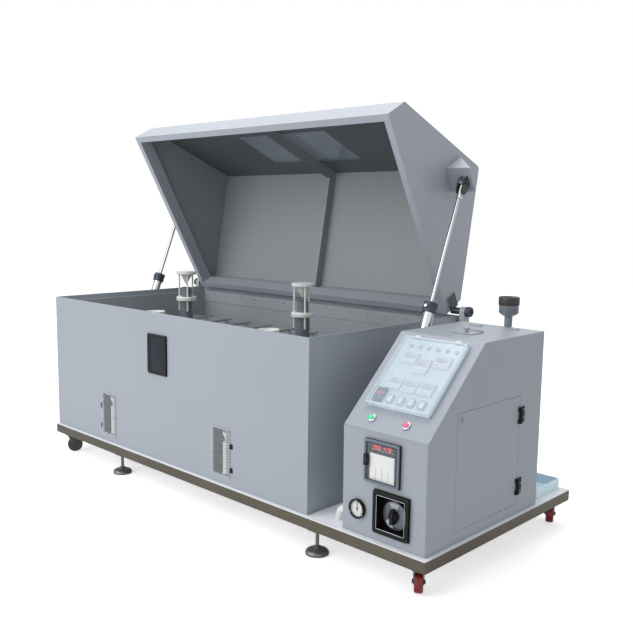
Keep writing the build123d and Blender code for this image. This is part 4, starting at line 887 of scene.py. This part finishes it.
for side, x in (("left", LID_LEFT), ("right", LID_RIGHT)):
    bead(f"{side}_gable_front_bead", on_lid(x, LID_FRONT + 4, EAVE), on_lid(x, MIDDLE - 6,
          RIDGE - 3), "lid_shell", 1.6)
    bead(f"{side}_gable_rear_bead", on_lid(x, LID_REAR - 4, EAVE), on_lid(x, MIDDLE + 6,
          RIDGE - 3), "lid_shell", 1.6)
bead("ridge_bead", on_lid(LID_LEFT + 4, MIDDLE, RIDGE), on_lid(LID_RIGHT - 4, MIDDLE, RIDGE),
      "lid_shell", 2.0)
print("beads done")

# %% [markdown]
# The sight window in the tank's front is a dark pane in a black frame held by screws. The frame is
# one ring of rounded outlines, and each screw is a small dome with a slot pressed into it.


# %% Sight window, niches and screws
def screw_head(name, matrix, radius, rise, node, key="steel"):
    """A pan head: a turned dome, and a slot as a thin dark bar across its top."""
    arc = np.linspace(0, 1, 6)
    dome = [(0, 0), (radius, 0)] + [(radius * math.cos(a * 1.45),
          rise * (0.35 + 0.65 * math.sin(a * 1.45))) for a in arc] + [(0, rise)]
    build(name, [turned(matrix, dome, 20)], key, node)
    build(name + "_slot", strokes(matrix, [(0, 0, radius * 1.3, radius * 0.24, 35)], rise - 0.4,
          rise + 0.12), "ink", node)


sight = front_face(1023.5, 557.5)
build("sight_window_frame", [window_frame(sight, 161, 207, 19, 5.5, 9.5, 8, 1.6)], "black",
      "sight_window")
build("sight_window_pane", [plate(sight, 122, 168, 5.6, 6.4, 2, 0.3)], "header_dark",
      "sight_window")
build("sight_window_seal", [window_frame(sight, 124, 170, 4, 6.0, 8.4, 3, 1.0)], "rubber",
      "sight_window")
for number, (dx, dy) in enumerate([(sx * 71, sy * 94) for sx in (-1, 1) for sy in (-1, 0, 1)]):
    screw_head(f"sight_screw_{number}", front_face(1023.5 + dx, 557.5 + dy, -9.3), 3.6, 1.8,
          "sight_window", "gland")
for side, x in (("left", 556), ("right", 1527)):
    cylinder = pointing(place(x + 10, 25.5, 45), (0, 0, 1))
    scale = [window_frame(cylinder, 35.4, 35.4, 1.2, 30 + 14 * n, 31.2 + 14 * n, 17.6,
          0.2) for n in range(10)]
    build(f"{side}_flask_marks", scale, "ink", "fog_collectors")
    build(f"{side}_flask_funnel_rim", [turned(pointing(place(x + 10, 25.5, 255), (0, 0, 1)),
          [(16.2, 0), (18.4, 0), (19.2, 1.2), (18.4, 2.4), (16.2, 2.4), (16.2, 0)], 40)], "white",
          "fog_collectors")
    cover = f"{side}_niche_cover"
    sign = -1 if side == "left" else 1
    border = front_face(x + sign * 0.5, 156, -6.2)
    build(f"{side}_cover_edge", [window_frame(border, 128, 236, 3.2, -0.2, 1.4, 5, 0.5)],
          "cover_edge", cover)
    build(f"{side}_niche_surround", [window_frame(front_face(x, 156, 0), 132, 240, 7, 0.0, 1.2, 5,
          0.4)], "board", "tank_panels")
print("tank front done")

# %% [markdown]
# The slope carries the chamber's controls under a hinged clear cover. Each module is a small panel
# meter: a raised bezel, a recessed window with lit segments whose dark glass is painted pale as a
# painted reflection, and a row of keys below it.

# %% Instruments on the slope
TOP = 13.0
MODULES = ((129, 362, 74, 56), (208, 330, 66, 72), (288, 362, 74, 56),
           (129, 228, 70, 60), (207, 224, 70, 60), (285, 226, 70, 60))
SIGNS = (("35.0", "35.2"), ("47.0", "47.1"), ("50.0", "50.1"), ("12", "08"), ("024", "016"),
      ("36", "00"))
for number, ((x, s, width, height), (upper, lower)) in enumerate(zip(MODULES, SIGNS)):
    here = slope_face(x, s)
    tall = height * 0.44
    lift = height * 0.17
    spot = slope_face(x, s + lift)
    build(f"module_bezel_{number}", [window_frame(here, width, height, 3.4, TOP - 1.5, TOP + 1.4,
          4, 1.0)], "module", "panel_instruments")
    # The window is painted pale: a painted reflection on its dark glass.
    build(f"module_window_{number}", [plate(spot, width - 16, tall, TOP, TOP + 0.5, 2, 0.2)],
          "display", "panel_instruments")
    build(f"module_window_ring_{number}", [window_frame(spot, width - 13, tall + 3, 1.6, TOP,
          TOP + 1.1, 3, 0.4)], "key", "panel_instruments")
    for row, (signs, key, level) in enumerate(((upper.replace(".", ""), "led", 0.21),
          (lower.replace(".", ""), "led_green", -0.23))):
        pitch = (width - 26) / 4
        start = -(len(signs) - 1) * pitch / 2
        build(f"module_digits_{number}_{row}", strokes(spot, readout(signs, start, tall * level,
              tall * 0.24, pitch), TOP + 0.5, TOP + 0.7), key, "panel_instruments")
    for button in range(4):
        step = (width - 16) / 4
        build(f"module_key_{number}_{button}", [plate(slope_face(x - 1.5 * step + button * step,
              s - height * 0.32), step * 0.66, 6.5, TOP, TOP + 1.5, 2, 0.6)], "key",
              "panel_instruments")
timer = slope_face(92, 160)
build("counter_window", [plate(slope_face(92, 168), 36, 26, TOP, TOP + 0.6, 2, 0.2)],
      "display_dark", "panel_instruments")
build("counter_frame", [window_frame(timer, 46, 66, 3.4, TOP - 1.5, TOP + 1.6, 4, 1.0)], "black",
      "panel_instruments")
build("counter_digits", strokes(slope_face(92, 168), readout("0024", -12, 0, 12, 8), TOP + 0.6,
      TOP + 0.9), "led", "panel_instruments")
for number in range(3):
    build(f"counter_key_{number}", [plate(slope_face(80 + 12 * number, 141), 8, 7, TOP, TOP + 1.8,
          2, 0.6)], "gland", "panel_instruments")
for number in range(6):
    lamp = slope_face(210 + (number - 2.5) * 45, 426)
    build(f"lamp_ring_{number}", [turned(lamp, [(6.6, 2.5), (10.4, 2.5), (10.4, 5.2), (9.0, 6.4),
          (7.6, 6.4), (6.6, 5.2), (6.6, 2.5)], 32)], "steel", "panel_instruments")
    arc = np.linspace(0, np.pi / 2, 7)
    build(f"lamp_lens_{number}", [turned(lamp, [(0, 4)] + [(7.0 * math.cos(a),
          10.6 + 3.2 * math.sin(a)) for a in arc][:-1] + [(0, 13.8)], 32)], ("led", "led_amber",
          "led_green")[number % 3] + "_lens", "panel_instruments")
for number, x in enumerate((150, 202, 254, 306)):
    build(f"rocker_frame_{number}", [window_frame(slope_face(x, 150), 30, 40, 3.2, 3.0, 14.6, 3,
          1.2)], "rocker_box", "panel_instruments")
for name, x in (("green", 116), ("red", 288)):
    spot = slope_face(x, 50)
    build(f"{name}_button_bezel", [turned(spot, [(12.6, 0), (17.6, 0), (17.6, 5.4), (16.4, 7.4),
          (13.8, 8.2), (12.6, 7.2), (12.6, 0)], 48)], "steel", "panel_instruments")
for number, (x, s) in enumerate(((58, 108), (362, 108), (58, 460), (362, 460))):
    screw_head(f"panel_corner_screw_{number}", slope_face(x, s, 3), 3.0, 1.8, "panel_instruments")
build("panel_cover_edge", [window_frame(slope_face(210, 284), 300, 352, 2.4, 22.4, 25.6, 8, 0.8)],
      "edge", "panel_cover")
print("slope done")

# %% [markdown]
# Below the slope sit the chart recorder, the pressure gauge and the regulator. Their faces are
# printed or turned parts: the chart has rows of dots, the gauge a ring of ticks, the regulator a
# brushed dial with two pale wedges of painted highlight and a lever.

# %% Recorder
chart = front_face(2504.5, 303.5)
build("chart_paper", [plate(chart, 123, 109, 2.1, 2.7, 2, 0.2)], "paper", "recorder_body")
dots = [(x + wander * 3 * math.sin(n * 0.8 + x), -50 + 7.5 * n, 3.4, 2.8, 0)
        for x, wander in ((-30, 0.2), (0, 0.6), (30, 0.4)) for n in range(7)]
build("chart_traces", strokes(chart, dots, 2.6, 2.85), "ink", "recorder_body")
rules = [(0, -50 + 10 * n, 116, 0.35, 0) for n in range(11)] + [(-56 + 11.2 * n, 0, 102, 0.3,
      90) for n in range(11)]
build("chart_rules", strokes(chart, rules, 2.6, 2.75), "rule", "recorder_body")
# The feed holes are small near black bars: painted shade where the holes show the dark inside.
holes = [(side * 58.5, -48 + 8 * n, 2.2, 2.2, 45) for side in (-1, 1) for n in range(13)]
build("chart_feed_holes", strokes(chart, holes, 2.6, 2.9), "recess_painted_shade", "recorder_body")
header = front_face(2507.5, 384.5)
build("header_face", [plate(header, 117, 25, 2.1, 3.0, 2, 0.4)], "header_dark", "recorder_body")
build("header_digits", strokes(header, readout("350 470", -42, 1, 15, 13), 3.0, 3.3),
      "led_bright", "recorder_body")
build("header_marks", strokes(header, [(-48 + 16 * n, -10.4, 7, 1.6, 0) for n in range(7)], 3.0,
      3.15), "paper", "recorder_body")
build("recorder_inner_step", [window_frame(front_face(2504.5, 325, 0), 150, 152, 5, -4.0, 1.0, 3,
      1.0)], "gland", "recorder_body")
door = front_face(2504.5, 325, 0)
build("recorder_door_frame", [window_frame(door, 173, 174, 11, 3.4, 10.3, 5, 1.6)], "door_frame",
      "recorder_door", ["recorder_door"])
build("recorder_door_pane", [plate(door, 153, 154, 5.5, 7.5, 2, 0.3)], "lens", "recorder_door")
build("recorder_door_bead", [window_frame(door, 152, 153, 3, 7.2, 9.6, 2, 0.6)], "black",
      "recorder_door")
latch = front_face(2431, 328, 0)
build("recorder_latch", [plate(latch, 20, 46, 8.2, 18.2, 4, 2.6)], "black", "recorder_door")
build("recorder_latch_grip", [plate(front_face(2431, 328 + 7 * n, 0), 14, 2.6, 17.4, 19.2, 1,
      0.8) for n in (-1, 0, 1)], "gland", "recorder_door")
print("recorder done")

# %% Gauge and regulator
gauge = front_face(2381, 108)
build("gauge_face", [turned(gauge, [(0, -2.8), (32.6, -2.8), (32.6, -2.0), (0, -2.0)], 64)],
      "paper", "gauge_case")
angles = np.linspace(225, -45, 31)
marks = [(27.6 * math.cos(math.radians(a)), 27.6 * math.sin(math.radians(a)),
      6.4 if n % 5 == 0 else 3.4, 1.1 if n % 5 == 0 else 0.5, a) for n, a in enumerate(angles)]
build("gauge_marks", strokes(gauge, marks, -2.1, -1.8), "ink", "gauge_case")
zone = [(22.4 * math.cos(math.radians(a)), 22.4 * math.sin(math.radians(a)), 1.8, 1.3,
      a) for a in np.linspace(-45, 20, 24)]
build("gauge_red_band", strokes(gauge, zone, -2.1, -1.85), "led_dim", "gauge_case")
build("gauge_ring", [turned(gauge, [(33, -3), (40.4, -3), (40.6, 5.6), (39.4, 7.6), (36.2, 8.4),
      (33.8, 7.2), (33, 5.2), (33, -3)], 72)], "black", "gauge_case")
build("gauge_glass", [turned(gauge, [(0, 4.6), (33.4, 4.0), (33.4, 5.0), (0, 5.8)], 64)], "lens",
      "gauge_case")
build("needle_hub", [turned(gauge, [(0, 0.4), (4.4, 0.4), (4.4, 2.2), (3.2, 3.0), (0, 3.0)], 28)],
      "ink", "gauge_needle")
reg = front_face(2553, 126)
build("regulator_bezel", [window_frame(reg, 176, 176, 14, 4.6, 7.2, 8, 1.4)], "black",
      "regulator_housing")
build("regulator_bright_line", [window_frame(reg, 140, 140, 1.8, 5.2, 7.0, 5, 0.5)], "steel",
      "regulator_housing")
for number, (dx, dz) in enumerate(((-80, -80), (80, -80), (-80, 80), (80, 80))):
    screw_head(f"regulator_screw_{number}", front_face(2553 + dx, 126 + dz, -7.0), 3.0, 1.4,
          "regulator_housing", "gland")
dial = front_face(2557, 120, 0)
turn = np.linspace(0, 2 * np.pi, 241)[:-1]


def milled(matrix, radius, low, high, teeth, depth):
    """A disc whose rim is milled: radius minus depth times a rounded wave of the given teeth."""
    wave = radius - depth * np.cos(teeth * turn) ** 2
    rings = [(0.02, low), (0.985, low), (1.0, low + 0.8), (1.0, high - 0.8), (0.97, high), (0.02,
          high)]
    local = np.stack([np.stack([s * wave * np.cos(turn), s * wave * np.sin(turn), np.full(240,
          z)], -1) for s, z in rings])
    middle = np.array([[0, 0, low], [0, 0, high]], float)
    cap = moved(matrix, middle)
    body = moved(matrix, local)
    return np.concatenate([np.repeat(cap[:1, None], 240, 1), body, np.repeat(cap[1:, None], 240,
          1)])


build("dial_disc", [milled(dial, 58, -22.9, -17.6, 60, 1.2)], "silver", "regulator_knob")
build("dial_hub", [turned(dial, [(0, -18), (21, -18), (21, -9), (19, -6.4), (15, -5.2), (0,
      -5.2)], 48)], "black", "regulator_knob")


def wedge(matrix, inner, outer, start, end, low, high, count=24):
    """A slice of a ring between two radii and two angles, closed all round."""
    t = np.radians(np.linspace(start, end, count))[:, None]
    section = np.array([(inner, low), (outer, low), (outer, high), (inner, high)])
    local = np.stack([section[:, 0] * np.cos(t), section[:, 0] * np.sin(t),
          np.broadcast_to(section[:, 1], (count, 4))], -1)
    middle = local.mean(1, keepdims=True)
    local = np.concatenate([np.repeat(middle[:1], 4, 1), local, np.repeat(middle[-1:], 4, 1)])
    return moved(matrix, local)


# The two pale wedges are the dial's painted highlight, not marks on it.
build("dial_wedges", [wedge(dial, 24, 52, 65, 115, -17.8, -17.0), wedge(dial, 24, 52, 215, 262,
      -17.8, -17.0)], "dial_painted_highlight", "regulator_knob")
build("dial_marks", strokes(dial, [(54 * math.cos(a), 54 * math.sin(a), 4.2, 0.8, math.degrees(a))
      for a in np.radians(np.arange(0, 360, 15))], -17.8, -17.2), "ink", "regulator_knob")
print("gauge and regulator done")

# %% [markdown]
# The lid turns on two pins, each tightened by a fluted black knob. The lift cylinders have a wiper
# ring in the gland, a clamp band and a polished rod. All of these are turned parts.


# %% Hinges and lift cylinders
def fluted(matrix, radius, low, high, flutes, depth, steps=120):
    """A fluted knob: radius minus depth times a cosine lobe, with rounded outer end."""
    t = np.linspace(0, 2 * np.pi, steps, endpoint=False)
    wave = radius - depth * (0.5 + 0.5 * np.cos(flutes * t)) ** 3
    arc = np.linspace(0, np.pi / 2, 5)
    edge = 5.0
    levels = [(0.02, low), (0.96, low), (1.0,
          low + 1)] + [((radius - edge + edge * math.cos(a)) / radius,
          high - edge + edge * math.sin(a)) for a in arc] + [(0.02, high)]
    local = np.stack([np.stack([s * wave * np.cos(t), s * wave * np.sin(t), np.full(steps, z)],
          -1) for s, z in levels])
    ends = moved(matrix, np.array([[0, 0, low], [0, 0, high]], float))
    return np.concatenate([np.repeat(ends[:1, None], steps, 1), moved(matrix, local),
          np.repeat(ends[1:, None], steps, 1)])
for side, sign, x in (("left", -1, 0), ("right", 1, TANK_LONG)):
    axis = pointing(place(x + sign * 45, 1113, 797), (sign, 0, 0))
    build(f"{side}_hinge_knob", [fluted(axis, 26.4, 0.2, 26.4, 12, 2.2)], "gland", "hinge_pins")
    build(f"{side}_hinge_cap", [turned(axis, [(0, 26), (12, 26), (12, 27.4), (10.6, 28.4), (0,
          28.6)], 36)], "black", "hinge_pins")
    foot_point = place(x + sign * 52, 525, 191)
    lift = pointing(foot_point, (0, 495, 1256))
    barrel = f"{side}_lift_barrel"
    build(f"{side}_gland_sleeve", [turned(lift, [(27.2, 676), (34.6, 676), (35.4, 678), (35.4,
          690), (34.6, 691.5), (34.6, 711), (35.4, 712.5), (35.4, 723), (33.6, 727.2), (11.4,
          727.2), (10.8, 725), (27.2, 720), (27.2, 676)], 56)], "gland", barrel)
    build(f"{side}_wiper_ring", [turned(lift, [(10.4, 726.8), (16.4, 726.8), (16.4, 729.4), (14.0,
          732.2), (10.4, 730.6), (10.4, 726.8)], 40)], "rubber", barrel)
    build(f"{side}_lower_cap", [turned(lift, [(27.1, 40), (34.8, 41), (35.2, 44), (35.2, 70),
          (33.6, 75.4), (27.1, 76.4), (27.1, 40)], 48)], "gland", barrel)
    for number, level in enumerate((228, 560)):
        build(f"{side}_clamp_band_{number}", [turned(lift, [(26.9, level - 7), (28.2, level - 7),
              (28.6, level - 5.6), (28.6, level + 5.6), (28.2, level + 7), (26.9, level + 7),
              (26.9, level - 7)], 48)], "steel", barrel)
    build(f"{side}_rod_nut", [stack(lift, 27, 27, 6, [(0, 1262), (0, 1273), (1.2, 1275), (3.2,
          1275), (3.2, 1262), (0, 1262)], 3)], "steel", f"{side}_lift_rod")
print("hinges and lifts done")

# %% [markdown]
# A castor wheel is a moulded red tyre on a dark hub with a nut at its axle. The levelling feet are
# turned domes on a threaded stem.

# %% Castors and feet
for corner in ("front_left", "front_right", "rear_left", "rear_right"):
    wheel = f"{corner}_castor_wheel"
    low, high = (np.array(v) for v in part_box(wheel))
    joint = next(j for j in frame["record"]["behaviour"]["joints"] if j["child"] == body_name(wheel))
    axle = np.array(joint["axis"], float)
    centre = (low + high) / 2
    spin = pointing(centre, axle)
    tyre = [(30, -17.8), (38, -17.8), (42.4, -15.4), (44.1, -10), (44.3, 0), (44.1, 10), (42.4,
          15.4), (38, 17.8), (30, 17.8), (30, -17.8)]
    # The front left tyre is red like the others, but is painted dark grey as shade where its fork hides
    # it.
    build(f"{corner}_tyre", [turned(spin, tyre, 64)],
          "castor_painted_shade" if corner == "front_left" else "castor", wheel, [wheel])
    for step in (-1, 1):
        face = pointing(centre, axle * step)
        build(f"{corner}_hub_{'out' if step > 0 else 'in'}", [turned(face, [(0, 14), (29.6, 14),
              (30.2, 17.0), (29.2, 18.2), (26, 17.2), (13, 16.2), (12, 18.6), (8.6, 19.4), (0,
              19.4)], 48)], "hub", wheel)
    foot = f"{corner}_foot"
    low, high = (np.array(v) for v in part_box(foot))
    middle = (low + high) / 2
    stem = pointing(np.array([middle[0], middle[1], low[2]]), (0, 0, 1))
    arc = np.linspace(0, np.pi / 2, 8)
    dome = [(0, 0.2), (50, 0.2), (51.6, 3.0), (52.2, 6.5), (51.2, 9.5)] + \
        [(18 + 32 * math.cos(a), 10 + 14.4 * math.sin(a)) for a in arc[1:]] + [(0, 24.6)]
    build(f"{corner}_foot_dome", [turned(stem, dome, 64)], "foot", foot)
print("castors and feet done")

# %% [markdown]
# Small things that a hand would find: the ring of the filler cup, the collars of the spray towers,
# the beaded rim of the drain elbow's unions and the screws of the door's hinges.

# %% Towers, filler, elbow and door hardware
for side, x in (("left", 556), ("right", 1527)):
    tower = pointing(place(x, 545, 0), (0, 0, 1))
    build(f"{side}_collar_bead", [turned(tower, [(57.4, 761), (58.8, 761), (59.4, 763.5), (59.4,
          778.5), (58.8, 781), (57.4, 781), (57.4, 761)], 64)], "white", "tower_collars")
filler = pointing(place(2523, 871, 0), (0, 0, 1))
build("filler_ring", [turned(filler, [(42.6, 884), (46.4, 884), (47.0, 887), (47.0, 917), (46.0,
      920.6), (43.6, 921.2), (42.6, 919), (42.6, 884)], 64)], "brown", "filler_funnel")
build("filler_ribs", [turned(filler, [(41.5, z), (46.2, z), (46.8, z + 1.2), (46.2, z + 2.4),
      (41.5, z + 2.4), (41.5, z)], 64) for z in (852, 862, 872)], "pipe", "filler_funnel")
down = pointing(place(2222, 80, 0), (0, 0, 1))
across = pointing(place(2297, 80, 50), (-1, 0, 0))
for name, matrix in (("foot", down), ("wall", across)):
    build(f"elbow_union_{name}", [turned(matrix, [(17.5, 2), (24.6, 2), (25.4, 3.6), (25.4, 7),
          (24.4, 8.4), (25.4, 9.8), (25.4, 15.4), (24.2, 18.4), (17.5, 18.8), (17.5, 2)], 40)],
          "edge_white", "drain_elbow")
hinge_low, hinge_high = ((np.array(v) - TANK_CORNER) * 1000 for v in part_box("door_hinges"))
for number, z in enumerate((hinge_low[2] + 12, hinge_low[2] + 46, hinge_high[2] - 46,
      hinge_high[2] - 12)):
    screw_head(f"hinge_screw_{number}", right_face(690, z, CAB_RIGHT + 4), 3.2, 1.8, "door_hinges")
print("small parts done")

SOFTENED = {
    "tank_panels": ("board", 0.0018), "tank_liner": ("inner", 0.0015),
    "base_frame": ("frame", 0.003), "end_brackets": ("ear", 0.003),
    "door_hinges": ("black", 0.002),
}
for node, (key, width) in SOFTENED.items():
    softened(node, F[key], width)
# The niche boxes take the near black recess finish, painted shade for their shaded inside.
DRESSED = {"base_tray": "tray", "niche_boxes": "recess_painted_shade", "sight_window": "black",
      "spray_towers": "pipe", "tower_collars": "white", "fog_collectors": "white",
      "specimen_rack": "inner", "recorder_body": "black", "gauge_case": "black",
      "regulator_housing": "black", "filler_funnel": "funnel", "solution_tub": "tub",
      "drain_elbow": "white", "air_saturator": "steel", "panel_screws": "steel",
      "lid_window": "glass", "hinge_pins": "black", "panel_cover": "milky",
      "green_button": "green", "red_button": "red", "gauge_needle": "ink",
      "regulator_knob": "black", "hatch_lid": "board", }
for side in ("left", "right"):
    DRESSED[f"{side}_lift_barrel"] = "barrel"
    DRESSED[f"{side}_lift_rod"] = "chrome"
    DRESSED[f"{side}_tower_head"] = "white"
    DRESSED[f"{side}_niche_cover"] = "smoke"
for corner in ("front_left", "front_right", "rear_left", "rear_right"):
    DRESSED[f"{corner}_castor_fork"] = "fork"
    DRESSED[f"{corner}_foot"] = "foot"
for number in range(1, 5):
    DRESSED[f"rocker_switch_{number}"] = "module"
for node, key in DRESSED.items():
    dress(node, F[key])

SLOPE = slope_face(0, 0)


def on_slope(middles):
    """Face middles in the slope's own millimetres: across, up the slope, out of it."""
    local = (middles / 1000 + TANK_CORNER - SLOPE[:3, 3]) @ SLOPE[:3, :3] * 1e6
    return local.T


def near(middles, x, s, reach_x, reach_s):
    """True for faces within a reach of a spot on the slope and above its base sheet."""
    across, up_slope, out = on_slope(middles)
    return (abs(across - x) < reach_x) & (abs(up_slope - s) < reach_s) & (out > 3.2)


copied(["panel_instruments"], "instrument_panel", [
    ("panel", None),
    ("module", lambda m: (on_slope(m)[2] > 3.2)),
    ("black", lambda m: near(m, 92, 160, 24, 34)),
    ("steel", lambda m: near(m, 116, 50, 18, 18) | near(m, 288, 50, 18, 18)),
    ("steel", lambda m: near(m, 210, 426, 130, 9)),
], 0.0012)


LUG_SHELF = 1052.5
copied(["lid_brackets"], "lid_bracket_pieces", [
    ("lid", None), ("bracket", lambda m: lid_levels(m) < LUG_SHELF - 0.5)], 0.002)
copied(["hinge_pins"], "hinge_pieces", [
    ("lid", None), ("gland", lambda m: (m[:, 0] < -44) | (m[:, 0] > 2144)),
    ("gland", lambda m: np.hypot(m[:, 1] - 1113, m[:, 2] - 797) < 24)], 0.0012)
copied(["side_door"], "side_door_pieces", [("board", None), ("black", lambda m: (m[:,
      0] > CAB_RIGHT + 0.4) & (m[:, 1] > 640))], 0.0016, flat=True)
print("rounded", len(SOFTENED), "dressed", len(DRESSED))
